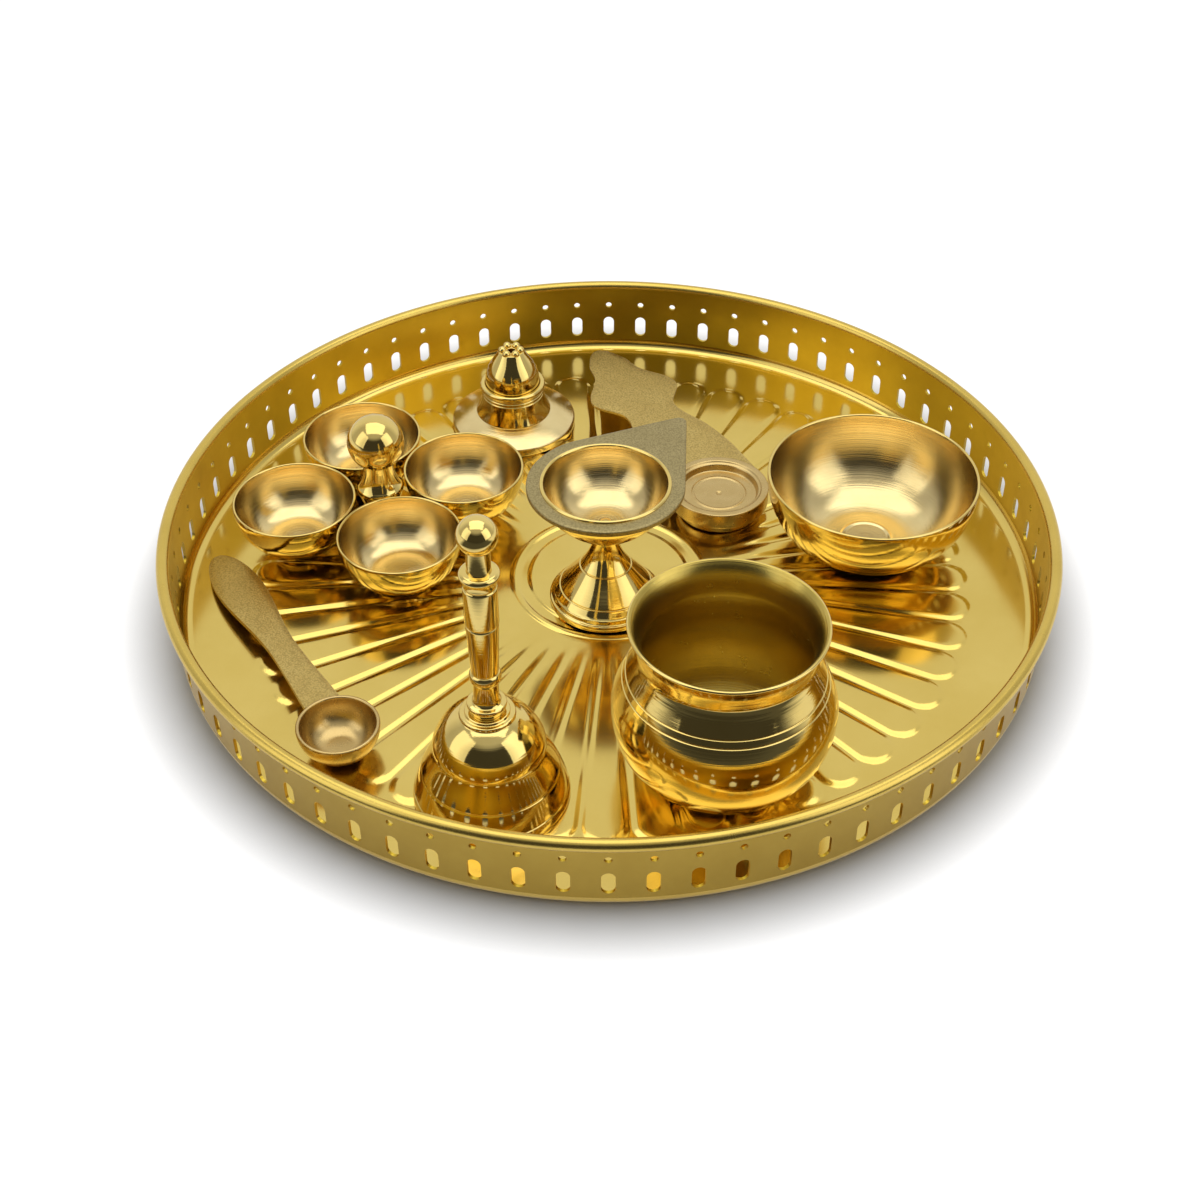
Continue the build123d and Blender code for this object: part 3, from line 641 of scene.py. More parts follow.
@dataclass
class Tray:
    """Pressed tray: floor with flutes, pierced wall and rolled rim.

    Attributes:
        sheet: Thickness of the sheet.
        corner: Outer radius between floor and wall.
        bead: Radius of the rolled rim.
        curl: Angle where its curl ends, in degrees.
        plain: Height of the plain floor's top.
        rise: Height of the pressed relief above it.
        flutes: Number of flutes.
        phase: Angle of the first flute in degrees.
        first: Inner end of a flute.
        last: Outer end of a flute.
        gap: Groove between flutes.
        side: Width of a flute's sloping side on its own half of that line.
        crown: How much lower a flute's sides are than its middle, as a share of its height.
        fade: Radii between which the flutes rise to their height.
        columns: Columns of faces in one flute's pitch.
        crest: Share of those columns on a flute's top.
        disc: Radii of the foot and the top of the centre disc's edge.
        ring: Radius of the ring round the centre.
        ring_half: Half widths of that ring at its foot and its top.
        holes: Holes round the wall.
        oval: Width and height of an oval hole.
        oval_z: Height of its middle.
        dot: Width of a round hole.
        dot_z: Height of its middle.
        place: Where the tray stands.
    """

    sheet: float = 1.0
    corner: float = 5.0
    bead: float = 2.1
    curl: float = -110.0
    plain: float = 1.4
    rise: float = 0.6
    flutes: int = 48
    phase: float = -0.5
    first: float = 41.0
    last: float = 125.0
    gap: float = 2.6
    side: float = 1.1
    crown: float = 0.06
    fade: Point = (37.0, 66.0)
    columns: int = 18
    crest: float = 0.45
    disc: Point = (28.6, 27.0)
    ring: float = 33.0
    ring_half: Point = (1.9, 0.3)
    holes: int = 72
    oval: Point = (4.2, 8.7)
    oval_z: float = 11.4
    dot: float = 2.4
    dot_z: float = 21.4
    place: Place = field(default_factory=lambda: Place.of("thali_tray"))

    def build(self) -> None:
        """Builds the tray's three pieces."""
        self.outer = self.place.radius - 2 * self.bead + self.sheet
        self.flat = self.outer - self.corner
        piece("tray_floor", self.floor(), "tray", [SHEET], ["thali_tray"])
        skin = self.outer - self.sheet / 2
        # Inner face: painted shade. Outer face: brushed, and darkened as painted shade too
        piece(
            "tray_wall", self.wall(), "tray", [SHADED_WALL_INSIDE, BRUSHED_AND_SHADED],
            inner=lambda spot: math.hypot(spot.x, spot.y) > skin,
        )
        piece("tray_rim", self.rim(), "tray", [RIM])

    def floor(self) -> BMesh:
        """Spins one flute's pitch of the floor, presses its relief and repeats it.

        Returns:
            The mesh.
        """
        # Rows lie close together at the disc's edge, at the ring and at the flutes' outer ends
        radii = [0.0, 6, 13, 20, 26.4, 26.8, 27.2, 27.6, 28.0, 28.4, 28.8, 30, 31.0]
        radii += [31.0 + 0.4 * k for k in range(1, 11)] + [37, 38.5, 40, 42]
        radii += [44 + 5.8 * k for k in range(13)]
        radii += [114.8 + 0.8 * k for k in range(16)] + [131, 137, self.flat]
        top = [(r, self.plain) for r in radii]
        centre = (self.flat, self.corner)
        inside = arc(centre, (self.corner - self.sheet, self.corner - self.plain), -90, 0, 8)
        outside = arc(centre, (self.corner,) * 2, 0, -90, 8)
        under = [(r, 0.0) for r in reversed(radii[::2])]
        mesh = spun(top[:-1] + inside + outside + under, self.columns, turns=self.flutes)
        for vert in mesh.verts:
            self.press(vert)
        repeat(mesh, self.flutes)
        return mesh

    def press(self, vert: BMVert) -> None:
        """Moves one vertex of the floor to the relief's height, and along to the flute's edge.

        Args:
            vert: The vertex.
        """
        radius = math.hypot(vert.co.x, vert.co.y) / MM
        pitch = 2 * math.pi / self.flutes
        column = round(math.atan2(vert.co.y, vert.co.x) / pitch * self.columns)
        share = 2 * column / self.columns - 1
        half = max(radius * math.tan(pitch / 2) - self.gap / 2, 0.3)
        edge = radius * pitch / 2
        crest = half - self.side if half > 1.5 * self.side else half / 2
        if abs(share) < self.crest:
            across = crest * abs(share) / self.crest
        else:
            across = crest + (edge - crest) * (abs(share) - self.crest) / (1 - self.crest)
        angle = math.copysign(across / radius if radius else 0.0, share) + math.radians(self.phase)
        vert.co.x = radius * math.cos(angle) * MM
        vert.co.y = radius * math.sin(angle) * MM
        if radius < self.flat + 0.01:
            vert.co.z += self.height(radius, across, half) * MM

    def height(self, radius: float, across: float, half: float) -> float:
        """Height of the relief.

        Args:
            radius: Distance from the tray's centre.
            across: Distance from the flute's middle line.
            half: Half width of the flute there.

        Returns:
            Height above the plain sheet.
        """
        disc = smooth(*self.disc, radius)
        ring = smooth(*self.ring_half, abs(radius - self.ring))
        slope = math.tan(math.pi / self.flutes)
        inner_r = (self.first * slope - self.gap / 2) / (1 - slope)
        outer_r = (self.last * slope - self.gap / 2) / (1 + slope)
        near, far = self.first + inner_r, self.last - outer_r
        along = min(max(radius, near), far)
        wide = along * slope - self.gap / 2
        outside = math.hypot(radius - along, across) - wide
        crown = 1.0 - self.crown * min(across / half, 1.0) ** 2
        flute = smooth(self.gap / 2, -self.side, outside) * crown * smooth(*self.fade, radius)
        return self.rise * max(disc, ring, flute)

    def wall(self) -> BMesh:
        """One pitch of the pierced wall, bent round and repeated.

        Returns:
            The mesh.
        """
        low, high = self.corner, self.place.high - self.bead
        width = 2 * math.pi * self.outer / self.holes
        mesh = bmesh.new()
        rows = [low + (high - low) * k / 8 for k in range(9)]
        ways = [-0.5, -0.25, 0.0, 0.25, 0.5]
        border = [(width * w, low) for w in ways] + [(width / 2, z) for z in rows[1:-1]]
        border += [(width * w, high) for w in reversed(ways)]
        border += [(-width / 2, z) for z in reversed(rows[1:-1])]
        end = (self.oval[1] - self.oval[0]) / 2
        half = self.oval[0] / 2
        oval = arc((0, self.oval_z + end), (half, half), 0, 180, 10)
        oval += arc((0, self.oval_z - end), (half, half), 180, 360, 10)
        dot = arc((0, self.dot_z), (self.dot / 2,) * 2, 0, 360, 14)[:-1]
        edges = []
        for loop in (border, oval, dot):
            verts = [mesh.verts.new((x, 0, z)) for x, z in loop]
            edges += [mesh.edges.new((verts[k - 1], verts[k])) for k in range(len(verts))]
        bmesh.ops.triangle_fill(mesh, edges=edges, use_beauty=True)
        pushed = bmesh.ops.extrude_face_region(mesh, geom=mesh.faces[:], use_keep_orig=True)
        for vert in pushed["geom"]:
            if isinstance(vert, BMVert):
                vert.co.y = 1.0
        sides = [f for f in mesh.faces if all(abs(abs(v.co.x) - width / 2) < 1e-4 for v in f.verts)]
        bmesh.ops.delete(mesh, geom=sides, context="FACES_ONLY")
        for vert in mesh.verts:
            radius = self.outer - self.sheet * vert.co.y
            angle = vert.co.x / self.outer
            vert.co = Vector((radius * math.cos(angle), radius * math.sin(angle), vert.co.z)) * MM
        repeat(mesh, self.holes)
        return mesh

    def rim(self) -> BMesh:
        """Rolled edge.

        Returns:
            The mesh.
        """
        centre = (self.place.radius - self.bead, self.place.high - self.bead)
        outside = arc(centre, (self.bead,) * 2, 180, self.curl, 30)
        inside = arc(centre, (self.bead - self.sheet,) * 2, self.curl, 180, 20)
        return spun(outside + inside, 240, closed=True)


# Bowls

@dataclass(frozen=True)
class Shell:
    """Outline of a round bowl on a low foot.

    Attributes:
        foot: Radius and height of the foot.
        rim: Outer radius of the rim, and the height where its rounding starts.
        wall: Thickness of the wall.
        chords: Chords up the outer side and down the inner one.
        ease: Rounding of the foot's corners.
    """

    foot: Point
    rim: Point
    wall: float
    chords: tuple[int, int]
    ease: float = 0.3

    def outline(self) -> list[Point]:
        """Runs up the outer side and down the inner one.

        Returns:
            The outline, without the bowl's floor.
        """
        (foot, step), (radius, high), lip = self.foot, self.rim, self.wall / 2
        across, deep = radius - foot, high - step
        out = soften([(0, 0), (foot, 0), (foot, step), (foot + 1, step)], self.ease)[:-1]
        out += arc((foot, high), (across, deep), -90, 0, self.chords[0])[2:]
        out += arc((radius - lip, high), (lip, lip), 0, 180, 8)[1:]
        hollow = (across - self.wall, deep - self.wall)
        return out + arc((foot, high), hollow, 0, -90, self.chords[1])[1:]

    def is_inside(self, spot: Vector) -> bool:
        """Whether a point is on the inner face.

        Args:
            spot: The point, in the bowl's own frame.

        Returns:
            True on the inner face.
        """
        (foot, step), (radius, high), skin = self.foot, self.rim, self.wall * 0.6
        out = max(math.hypot(spot.x, spot.y) - foot, 0.0) / (radius - foot - skin)
        down = max(high - spot.z, 0.0) / (high - step - skin)
        return math.hypot(out, down) < 1.0 and spot.z < high + 0.05


@dataclass
class Bowl:
    """Turned bowl on a low foot.

    Attributes:
        node: CAD node it stands for.
        body: CAD body it rides.
        foot: Radius and height of the foot.
        wall: Thickness of the wall.
        ring: Radius of the turned ring in the bowl's floor, or 0 for a plain floor.
    """

    node: str
    body: str
    foot: Point
    wall: float
    ring: float = 0.0

    def build(self) -> None:
        """Builds the bowl."""
        place = Place.of(self.node)
        rim = (place.radius, place.high - place.low - self.wall / 2)
        shell = Shell(self.foot, rim, self.wall, (40, 40), 0.4)
        outline = shell.outline()
        floor = self.foot[1] + self.wall
        bottom = [outline[-1], (1.2, floor), (0, floor)]
        if self.ring:
            wide, narrow, top = 0.9, 0.3, floor + 0.35
            crest = [(self.ring + narrow, top), (self.ring - narrow, top)]
            bottom[1:1] = [(self.ring + wide, floor), *crest, (self.ring - wide, floor)]
        mesh = spun(outline + soften(bottom, 0.3)[1:], 128)
        piece(
            self.node, mesh, self.body, [POLISHED, SATIN], [self.node], place.matrix(),
            shell.is_inside,
        )


# Lota

@dataclass
class Lota:
    """Round-bellied pot.

    Attributes:
        base: Radius of the flat base.
        belly: Radius and height of the belly.
        upper: Points from the belly to the lip.
        wall: Thickness of the wall.
        lines: Places of the turned lines along the upper side.
    """

    base: float = 17.0
    belly: Point = (34.6, 24.5)
    upper: Outline = (
        (34.6, 24.5), (33.9, 29.5), (31.0, 37.0), (27.6, 44.5), (26.8, 47.8), (30.0, 56.5),
    )
    wall: float = 1.2
    lines: tuple[float, ...] = (0.36, 0.44)

    def build(self) -> None:
        """Builds the pot."""
        place = Place.of("lota")
        across, deep = self.belly[0] - self.base, self.belly[1]
        low = arc((self.base, deep), (across, deep), -90, 0, 30)
        side = flow(self.upper, (0, 1), (1, 1), 16)
        inner_side = inset(side, self.wall)
        for share in self.lines:
            side = groove(side, share, 0.25, 0.7)
        hollow = (across - self.wall, deep - self.wall)
        inner_low = arc((self.base, deep), hollow, 0, -90, 30)
        top, back = Vector(side[-1]), Vector(inner_side[-1])
        middle, half = (top + back) / 2, (top - back) / 2
        out = Vector((-half.y, half.x))
        angles = (0.4, 0.8, 1.2, 1.57, 1.94, 2.34, 2.74)
        lip = [middle + half * math.cos(a) + out * math.sin(a) for a in angles]
        sunk, ledge, ring = 0.6, 3.0, 2.4
        outline = [(0.0, sunk), (self.base - ledge, sunk), (self.base - ring, 0.0)]
        outline += low + side[1:]
        outline += [(p.x, p.y) for p in lip] + inner_side[::-1] + inner_low[1:] + [(0.0, self.wall)]
        mesh = spun(outline, 144)
        skin = inset(low + side[1:], self.wall / 2)
        # The inner face takes the darker finish, painted shade inside the pot
        piece(
            "lota", mesh, "lota", [POLISHED, SHADED_POT_INSIDE], ["lota"], place.matrix(),
            lambda spot: self.is_inside(spot, skin),
        )

    @staticmethod
    def is_inside(spot: Vector, skin: Outline) -> bool:
        """Whether a point is on the inner side of the outline of the wall's middle."""
        nearest = min(skin, key=lambda p: abs(p[1] - spot.z))
        return math.hypot(spot.x, spot.y) < nearest[0] and spot.z > 0.9


# Four-cup holder

@dataclass
class CupHolder:
    """Four cups on a cross, with a ball knob.

    Attributes:
        sides: Names of the cups.
    """

    sides: tuple[str, ...] = ("right", "back", "left", "front")

    def build(self) -> None:
        """Builds the cups and the knob, and paints the cross and its screw."""
        for side in self.sides:
            Bowl("cup_" + side, "cup_holder", (9.0, 2.0), 0.9).build()
        ball, high, waist = 10.0, 37.0, 5.2
        neck = (waist, high - math.sqrt(ball**2 - waist**2))
        outline = soften([(0, 0), (5.0, 0), (5.0, 8.1), (8.59, 18.1), (8.0, 19.0)], 1.0)[:-1]
        outline += flow([(8.3, 18.7), neck], (-1, 1), (0, 1), 14)
        start = -math.degrees(math.asin((high - neck[1]) / ball))
        outline += arc((0, high), (ball, ball), start + 3, 90, 30)
        turned("cup_knob", outline, "cup_holder")
        paint_node("cup_cross", SATIN)
        paint_node("cup_knob_screw", FITTING)


# Incense stand

@dataclass
class IncenseStand:
    """Domed base, drum and pointed cone.

    Attributes:
        lobes: Lobes of the crown.
        lobe: Radius of a lobe.
        ring: Radius they stand on.
        socket: Radius and depth of the hole for a stick.
    """

    lobes: int = 6
    lobe: float = 1.6
    ring: float = 3.4
    socket: Point = (1.6, 9.0)

    def build(self) -> None:
        """Builds the stand."""
        body = "incense_stand"
        outline = [(0, 4.6), (12.4, 4.6), (21.7, 1.2), (21.7, 0), (23.7, 0), (23.7, 3.2)]
        outline += [(14.4, 6.6), (0, 6.6)]
        turned("incense_base", soften(outline, 0.6), body, finish=SATIN)
        side = flow([(14.4, 0), (11.6, 10.4)], (-1, 2), (0, 1), 20)
        side = groove(groove(side, 0.78, 0.25, 0.7), 0.90, 0.25, 0.7)
        outline = [(13.0, 0.0)] + side + arc((11.6, 11.5), (0.9, 1.1), -90, 90, 10)
        outline += [(10.6, 12.6), (10.6, 11.0), (0, 11.0)]
        turned("incense_drum", soften(outline, 0.3), body)
        node = "incense_cone"
        place = Place.of(node)
        top = place.high - place.low - self.lobe
        bore, deep = self.socket
        outline = [(0, 0.0)] + flow([(10.4, 0.0), (9.6, 7.0), (4.7, top)], (0, 1), (-1, 2), 12)
        outline += [(bore, top), (bore, top - deep), (0, top - deep)]
        mesh = spun(soften(outline, 0.3), 96)
        for k in range(self.lobes):
            angle = 2 * math.pi * k / self.lobes
            spot = Vector((self.ring * math.cos(angle), self.ring * math.sin(angle), top)) * MM
            move = Matrix.Translation(spot)
            bmesh.ops.create_uvsphere(
                mesh, u_segments=16, v_segments=10, radius=self.lobe * MM, matrix=move
            )
        piece(node, mesh, body, [POLISHED], [node], place.matrix())
        paint_node("incense_tie_screw", FITTING)


# Flat cast handles

@dataclass
class Strip:
    """Flat cast bar along +X with a width that changes.

    Attributes:
        start: Where it starts, by the share of its half width.
        end: Where it ends.
        half: Half width by distance along.
        top: Height of its upper face by distance along.
        thick: Thickness.
        crown: How much lower its edges are than its middle.
        rows: Rows of faces along it.
        columns: Columns of faces across it.
        brink: Share of its half width where its edges start to fall.
    """

    start: Callable[[float], float]
    end: float
    half: Callable[[float], float]
    top: Callable[[float], float]
    thick: float
    crown: float = 0.25
    rows: int = 120
    columns: int = 14
    brink: float = 0.75

    def mesh(self) -> BMesh:
        """Builds the bar.

        Returns:
            Its mesh, in metres.
        """
        mesh = bmesh.new()
        bmesh.ops.create_grid(mesh, x_segments=self.rows, y_segments=self.columns, size=1.0)
        upper = set(mesh.verts)
        bmesh.ops.extrude_face_region(mesh, geom=mesh.faces[:], use_keep_orig=True)
        for vert in mesh.verts:
            share = math.sin(math.pi / 2 * vert.co.y)
            start = self.start(share)
            along = start + (self.end - start) * 0.5 * (1 - math.cos(math.pi * (vert.co.x + 1) / 2))
            half = max(self.half(along), 0.05)
            fall = self.crown * smooth(self.brink, 1.0, abs(share))
            height = self.top(along) - (fall if vert in upper else self.thick)
            vert.co = Vector((along, half * share, height)) * MM
        bmesh.ops.recalc_face_normals(mesh, faces=mesh.faces)
        return mesh


@dataclass
class CamphorBurner:
    """Pan with a stepped recess and a flat leaf handle.

    Attributes:
        spot: Centre of the pan.
        turn: Way the handle points, in degrees.
        radius: Radius of the pan.
        high: Height of the rim.
        root: Half width of the handle where it leaves the pan.
        edge: Distance along and half width of the handle: root, shoulder, neck, lobe, notch, tip
            and end.
        thick: Thickness of the handle.
        lap: How far the handle runs in over the pan's wall.
        sunk: How far its face lies below the rim.
    """

    spot: Point = (40.3, 38.3)
    turn: float = 116.5
    radius: float = 18.0
    high: float = 10.0
    root: float = 17.5
    edge: Outline = (
        (18.0, 17.5), (36.0, 15.3), (54.0, 10.4), (68.0, 18.0), (83.0, 9.6), (93.0, 7.2), (101.0, 0.0),
    )
    thick: float = 1.2
    lap: float = 1.2
    sunk: float = 0.04

    def build(self) -> None:
        """Builds the pan and its handle."""
        body = "camphor_burner"
        low = Place.of(body).low
        place = Place(*self.spot, low, low + self.high, self.radius)
        self.side = flow(self.edge, (1, 0), (0, -1), 30)
        outline = [(0, 0), (15.0, 0), (15.0, 4.0), (18.0, 4.0), (18.0, 10.0), (15.5, 10.0)]
        outline += [(15.1, 9.4), (14.2, 9.2), (13.6, 6.8), (10.1, 6.8), (9.7, 7.1), (9.3, 7.1)]
        outline += [(8.9, 6.8), (1.1, 6.8), (0.6, 6.4), (0, 6.4)]
        mesh = spun(soften(outline, 0.5), 112)
        piece("camphor_pan", mesh, body, [BRONZE], [body], place.matrix())
        reach = self.radius - self.lap
        bar = Strip(
            lambda share: math.sqrt(max(reach**2 - (self.root * share) ** 2, 0.0)),
            self.edge[-1][0], self.half, lambda along: self.high - self.sunk, self.thick, rows=180,
        )
        move = place.matrix(self.turn)
        piece("camphor_handle", bar.mesh(), body, [GRAINED], move=move)

    def half(self, along: float) -> float:
        """Half width of the handle.

        Args:
            along: Distance from the pan's centre.

        Returns:
            Half the width there.
        """
        for (x0, y0), (x1, y1) in zip(self.side, self.side[1:]):
            if x0 <= along <= x1:
                return y0 + (y1 - y0) * (along - x0) / max(x1 - x0, 1e-9)
        return self.root if along < self.edge[0][0] else 0.0


# Diya

@dataclass
class Diya:
    """Oil lamp: bowl with a leaf-shaped rim on a trumpet foot.

    Attributes:
        turn: Way the leaf points, in degrees.
        seat: Radius and height of the bowl's seat.
        bowl: Inner radius of the bowl.
        high: Height of its rim.
        wall: Thickness of its wall.
        leaf: Radius of the leaf's round end.
        tip: Distance and radius of its tip.
        thick: Thickness of the leaf.
        band: Twice the width of the leaf's border.
    """

    turn: float = 54.4
    seat: Point = (5.6, 1.5)
    bowl: float = 20.5
    high: float = 19.0
    wall: float = 1.4
    leaf: float = 26.3
    tip: Point = (43.5, 2.5)
    thick: float = 2.0
    band: float = 5.4

    def build(self) -> None:
        """Builds the lamp."""
        outline = [(0, 15.0), (3.0, 15.0), (17.0, 0), (19.3, 0), (19.3, 2.2), (18.4, 2.5)]
        outline += [(17.9, 3.8), (17.5, 4.0)]
        side = flow([(17.5, 4.0), (4.6, 26.0)], (-2, 3), (0, 1), 30)
        side = groove(groove(side, 0.12, 0.35, 0.9), 0.55, 0.3, 0.8)
        outline = soften(outline, 0.35)[:-1] + side
        outline += soften([(4.6, 26.0), (5.0, 27.2), (5.6, 28.5), (5.6, 30.0), (0, 30.0)], 0.4)[1:]
        turned("diya_foot", outline, "diya", 112)
        foot, cup = Place.of("diya_foot"), Place.of("diya_bowl")
        place = Place(foot.x, foot.y, cup.low, cup.high, self.leaf)
        shell = Shell(self.seat, (self.bowl + self.wall, self.high), self.wall, (32, 36))
        mesh = spun(shell.outline() + [(0, self.seat[1] + self.wall)], 128)
        piece(
            "diya_bowl", mesh, "diya", [POLISHED, SATIN], ["diya_bowl"], place.matrix(),
            shell.is_inside,
        )
        move = place.matrix(self.turn)
        piece("diya_leaf", self.rim(), "diya", [CAST], move=move)
        paint_node("diya_rivet", FITTING)

    def reach(self, angle: float) -> float:
        """Distance from the bowl's centre to the leaf's edge.

        Args:
            angle: Angle from the tip's direction, in radians.

        Returns:
            The distance.
        """
        far, small = self.tip
        lean = math.acos((self.leaf - small) / far)
        angle = abs(math.atan2(math.sin(angle), math.cos(angle)))
        if angle >= lean:
            return self.leaf
        side = self.leaf / math.cos(lean - angle)
        across = far * math.sin(angle)
        tip = far * math.cos(angle) + math.sqrt(small**2 - across**2) if across < small else side
        return min(side, tip)

    def rim(self) -> BMesh:
        """Leaf-shaped rim with round edges.

        Returns:
            The mesh, with the tip along +X.
        """
        inner = self.bowl + 0.9
        top, under = self.high, self.high - self.thick
        rows = [(0.0, top), (0.3, top), (0.62, top), (0.86, top), (0.94, top - 0.08)]
        rows += [(0.98, top - 0.25), (1.0, top - 0.55), (1.0, under + 0.3), (0.95, under)]
        rows += [(0.4, under), (0.0, under)]
        mesh = spun([(1.0 + share, height) for share, height in rows], 180, closed=True)
        for vert in mesh.verts:
            share = math.hypot(vert.co.x, vert.co.y) / MM - 1.0
            angle = math.atan2(vert.co.y, vert.co.x)
            width = self.reach(angle) - inner
            if share > 0.5:
                radius = inner + width - (1.0 - share) * self.band
            else:
                radius = inner + max(width - self.band / 2, 0.5) * share / 0.5
            vert.co.x = radius * math.cos(angle) * MM
            vert.co.y = radius * math.sin(angle) * MM
        bmesh.ops.recalc_face_normals(mesh, faces=mesh.faces)
        return mesh


# Bell

@dataclass
class Bell:
    """Hand bell with a turned handle.

    Attributes:
        side: Points of the cup's outer side, from lip to crown.
        wall: Thickness of the cup.
    """

    side: Outline = (
        (24.2, 1.6), (21.4, 10.4), (17.4, 19.0), (16.8, 23.0), (13.1, 29.5), (8.4, 33.2),
    )
    wall: float = 1.8

    def build(self) -> None:
        """Builds the cup and the handle, and paints the clapper."""
        side = flow(self.side, (-1, 4), (-2, 1), 14)
        inner = inset(side, self.wall)
        for share, depth in ((0.06, 0.25), (0.28, 0.12), (0.55, 0.15)):
            side = groove(side, share, depth, 0.7)
        mouth = inner[0][0]
        outline = [(1.55, 33.2), (3.2, 33.2)] + inner[::-1]
        outline += soften([inner[0], (mouth, 0), (24.2, 0), side[0], side[1]], 0.4)[1:-1] + side[1:-1]
        crown = [side[-1], (8.4, 34.2), (6.8, 34.2), (6.8, 35.0), (1.55, 35.0), (1.55, 33.2)]
        outline += soften([side[-2], *crown], 0.45)[1:]
        turned("bell_cup", outline, "bell", 128)
        turned("bell_handle", self.handle(), "bell", 80)
        for node in ("bell_eye", "clapper_rod", "clapper_bob"):
            paint_node(node, FITTING)

    @staticmethod
    def handle() -> list[Point]:
        """Outline of the handle.

        Returns:
            The points, up to the ball's top.
        """
        foot = [(0, 0), (5.2, 0), (5.0, 1.6), (6.0, 1.8), (6.0, 3.3), (4.3, 3.6), (3.8, 5.2)]
        foot += [(3.8, 11.2), (4.1, 11.6)]
        outline = soften(foot, 0.5) + arc((3.9, 13.5), (0.9, 1.9), -80, 80, 12)
        grip = [(4.1, 15.6), (4.1, 16.2), (4.85, 33.4), (4.6, 33.8), (5.0, 34.2), (5.0, 47.2)]
        grip += [(4.6, 47.6), (4.9, 48.0), (4.7, 50.2)]
        outline += soften(grip, 0.4) + arc((4.6, 51.7), (1.3, 1.3), -80, 80, 14)
        neck, high, ball = 3.5, 60.5, 5.9
        outline += soften([(3.7, 53.1), (neck, 54.0), (neck, high)], 0.5)
        centre = high + math.sqrt(ball**2 - neck**2)
        start = -math.degrees(math.asin((centre - high) / ball))
        return outline + arc((0, centre), (ball, ball), start + 4, 90, 24)


# Spoon

@dataclass
class Spoon:
    """Cast spoon with a round bowl.

    Attributes:
        spot: Centre of the bowl.
        turn: Way the handle points, in degrees.
        radius: Radius of the bowl.
        high: Height of its rim.
        foot: Radius and height of its foot.
        wall: Thickness of its wall.
        root: Half width of the handle at the bowl.
        waist: Distance and half width of its waist.
        end: Distance and half width where its round end starts.
        length: Distance to its end.
        drop: How far it slopes down.
        thick: Thickness of the handle.
    """

    spot: Point = (-84.2, -87.2)
    turn: float = 120.0
    radius: float = 13.2
    high: float = 11.4
    foot: Point = (4.0, 0.8)
    wall: float = 1.3
    root: float = 6.2
    waist: Point = (46.0, 4.6)
    end: Point = (86.0, 7.9)
    length: float = 109.0
    drop: float = 9.0
    thick: float = 2.0

    def build(self) -> None:
        """Builds the bowl and the handle."""
        low = Place.of("spoon").low
        place = Place(*self.spot, low, low + self.high, self.radius)
        shell = Shell(self.foot, (self.radius, self.high), self.wall, (28, 28))
        mesh = spun(shell.outline() + [(0, self.foot[1] + self.wall)], 96)
        piece("spoon_bowl", mesh, "spoon", [BRONZE], ["spoon"], place.matrix())
        root_x = self.radius - self.wall
        slope = self.drop / (self.length - root_x)
        blunt = 0.4
        bar = Strip(
            lambda share: root_x + self.wall / 2, self.length - blunt, self.half,
            lambda along: self.high - slope * (along - root_x), self.thick,
        )
        move = place.matrix(self.turn)
        piece("spoon_handle", bar.mesh(), "spoon", [GRAINED], move=move)

    def half(self, along: float) -> float:
        """Half width of the handle.

        Args:
            along: Distance from the bowl's centre.

        Returns:
            Half the width there.
        """
        (waist_x, waist), (end_x, end) = self.waist, self.end
        if along < waist_x:
            return self.root + (waist - self.root) * smooth(0, waist_x, along)
        if along < end_x:
            return waist + (end - waist) * smooth(waist_x, end_x, along)
        reach = (along - end_x) / (self.length - end_x)
        return end * math.sqrt(max(1 - reach**2, 0.0))


# Studio

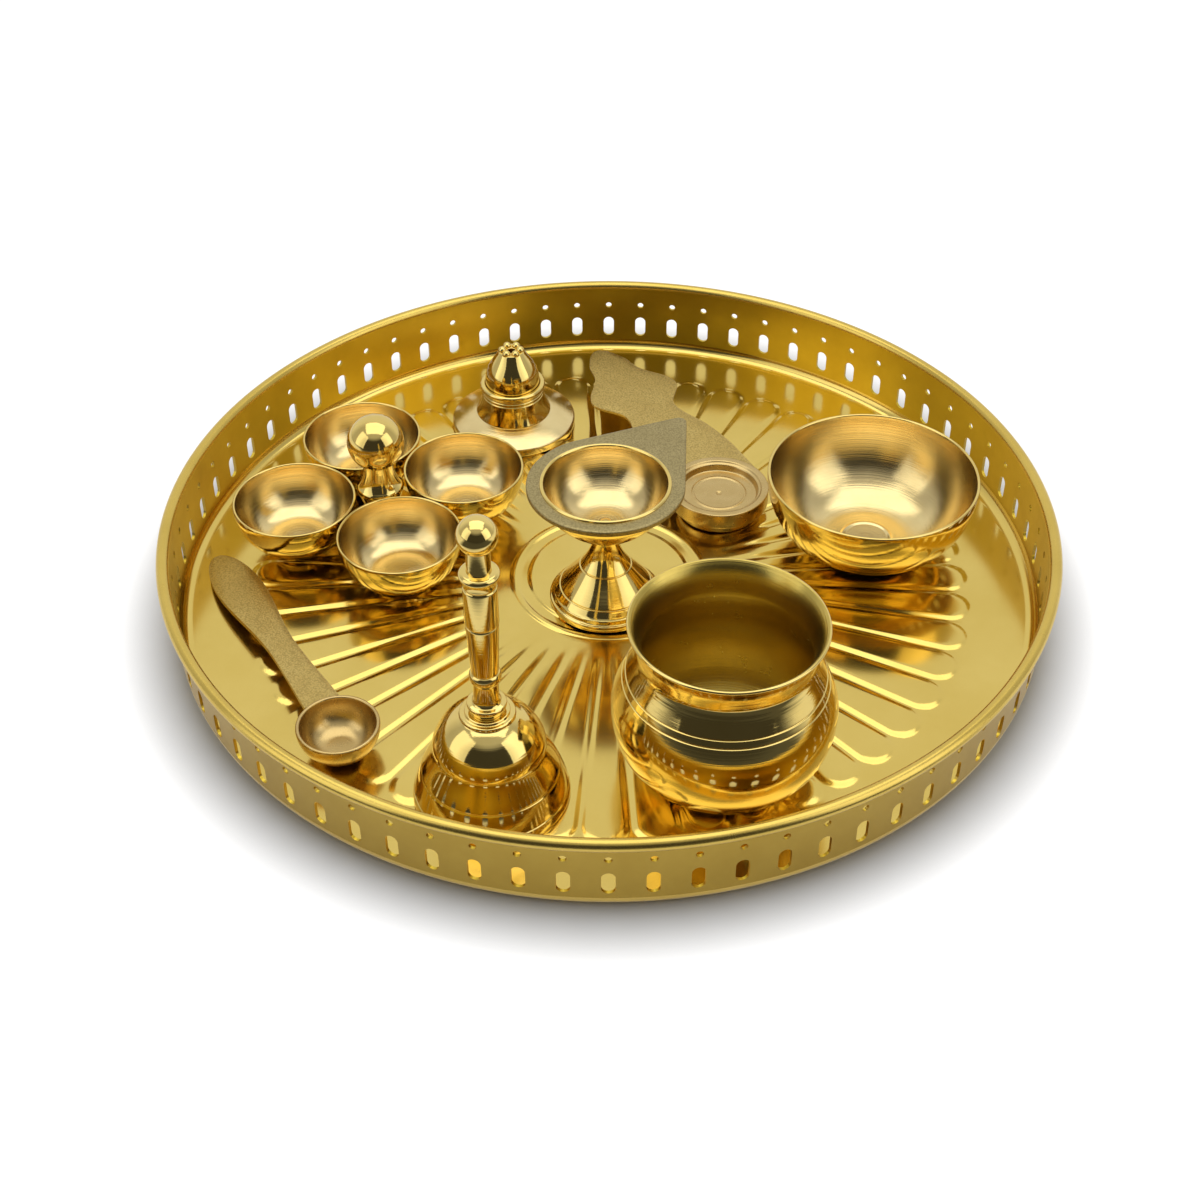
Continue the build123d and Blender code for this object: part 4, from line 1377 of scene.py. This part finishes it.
@dataclass
class Studio:
    """Camera, floor and light.

    Attributes:
        eye: Place of the camera in metres.
        down: Angle of the view below the horizon, in degrees.
        aside: Angle of the view from +Y, in degrees.
        roll: Tilt of the picture, in degrees.
        lens: Focal length for the sensor.
        sensor: Width of the sensor.
    """

    eye: tuple[float, float, float] = (0.0, -0.483767, 0.404966)
    down: float = 40.624
    aside: float = -0.362
    roll: float = -0.197
    lens: float = 53.664
    sensor: float = 36.0

    def build(self) -> None:
        """Builds the studio."""
        self.camera()
        self.floor()
        self.world()
        self.softbox("top_box", (0.0, 0.1, 1.3), (1.6, 1.2), 6.8)
        self.softbox("left_box", (-1.0, -0.5, 0.6), (0.9, 1.1), 2.6)
        self.softbox("right_box", (1.0, -0.5, 0.6), (0.9, 1.1), 3.1)

    def camera(self) -> None:
        """Adds the camera the photo was taken with."""
        lens = bpy.data.cameras.new("camera")
        lens.sensor_width = self.sensor
        lens.lens = self.lens
        lens.clip_start = 0.01
        view = shown("camera", lens)
        down, aside = math.radians(self.down), math.radians(self.aside)
        level = math.cos(down)
        ahead = Vector((math.sin(aside) * level, math.cos(aside) * level, -math.sin(down)))
        turn = ahead.to_track_quat("-Z", "Y").to_matrix().to_4x4()
        tilt = Matrix.Rotation(math.radians(self.roll), 4, "Z")
        view.matrix_world = Matrix.Translation(self.eye) @ turn @ tilt
        bpy.context.scene.camera = view

    @staticmethod
    def floor() -> None:
        """Adds a floor: white to the camera, with painted shade round the tray; dark in reflections well
        in front.
        """
        mesh = bmesh.new()
        bmesh.ops.create_grid(mesh, x_segments=1, y_segments=1, size=6.0)
        data = bpy.data.meshes.new("floor")
        mesh.to_mesh(data)
        mesh.free()
        ground = shown("floor", data)
        paint = bpy.data.materials.new("pale_floor")
        paint.use_nodes = True
        graph = Graph(paint.node_tree)
        shader = paint.node_tree.nodes["Principled BSDF"].inputs
        shader["Roughness"].default_value = 0.9
        shader["Specular IOR Level"].default_value = 0.1
        seen = graph.add("LightPath").outputs["Is Camera Ray"]
        where = graph.add("TexCoord").outputs["Object"]
        away = graph.add("VectorMath", {"operation": "LENGTH"}, Vector=where).outputs["Value"]
        way = graph.add("VectorMath", {"operation": "NORMALIZE"}, Vector=where).outputs["Vector"]
        parts = graph.add("SeparateXYZ", None, Vector=way).outputs
        near, front = graph.ramp(away, 0.24, 0.2), graph.ramp(parts["Y"], -0.6, -0.4)
        pale = graph.maths("MAXIMUM", near, front)
        mirrored = graph.blend(pale, (0.08, 0.08, 0.08, 1), (0.97, 0.97, 0.97, 1))
        # For the camera the base is darker; the glow lifts it to white, but not close round the tray:
        # painted shade
        graph.feed(shader["Base Color"], graph.blend(seen, mirrored, (0.42, 0.42, 0.42, 1)))
        # The camera alone sees a glow from just outside the tray's edge; the darker ground inside it is
        # painted shade
        glow_past_painted_shade, far = graph.ramp(away, 0.149, 0.168, 0.7), graph.ramp(away, 0.6, 2.0, 0.8)
        glow = graph.maths("MULTIPLY", seen, graph.maths("ADD", glow_past_painted_shade, far))
        shader["Emission Color"].default_value = (1, 1, 1, 1)
        graph.feed(shader["Emission Strength"], glow)
        data.materials.append(paint)

    @staticmethod
    def world() -> None:
        """Adds soft light from all round, darker low down behind the camera."""
        world = bpy.data.worlds.new("studio")
        bpy.context.scene.world = world
        world.use_nodes = True
        graph = Graph(world.node_tree)
        where = graph.add("TexCoord").outputs["Generated"]
        parts = graph.add("SeparateXYZ", None, Vector=where).outputs
        front, behind = graph.ramp(parts["Y"], -0.6, -0.35), graph.ramp(parts["Y"], 0.25, 0.6)
        open_sky = graph.maths("MAXIMUM", front, graph.ramp(parts["Z"], 0.6, 0.8))
        sides = graph.blend(open_sky, (0.05, 0.048, 0.045, 1), (0.5, 0.5, 0.5, 1))
        shade = graph.blend(behind, sides, (0.8, 0.8, 0.8, 1))
        seen = graph.add("LightPath").outputs["Is Camera Ray"]
        back = world.node_tree.nodes["Background"].inputs
        graph.feed(back["Color"], graph.blend(seen, shade, (1, 1, 1, 1)))

    @staticmethod
    def softbox(name: str, spot: Sequence[float], size: Point, power: float) -> None:
        """Adds a soft light that faces the tray's centre.

        Args:
            name: Name of the light.
            spot: Its place in metres.
            size: Its width and height in metres.
            power: Its power in watts.
        """
        lamp = bpy.data.lights.new(name, "AREA")
        lamp.shape = "RECTANGLE"
        lamp.size, lamp.size_y = size
        lamp.energy = power
        made = shown(name, lamp)
        turn = (Vector() - Vector(spot)).to_track_quat("-Z", "Y").to_matrix().to_4x4()
        made.matrix_world = Matrix.Translation(spot) @ turn


def main() -> None:
    """Builds every piece and the studio."""
    logging.basicConfig(level=logging.INFO)
    vessels = [
        Tray(), Bowl("katori", "katori", (13.0, 1.2), 1.1, 8.5), Lota(), CupHolder(), IncenseStand(),
        CamphorBurner(), Diya(), Bell(), Spoon(), Studio(),
    ]
    for vessel in vessels:
        LOG.info("building %s", type(vessel).__name__)
        vessel.build()
    bpy.context.scene.view_settings.view_transform = "Standard"


if __name__ == "__main__":
    main()
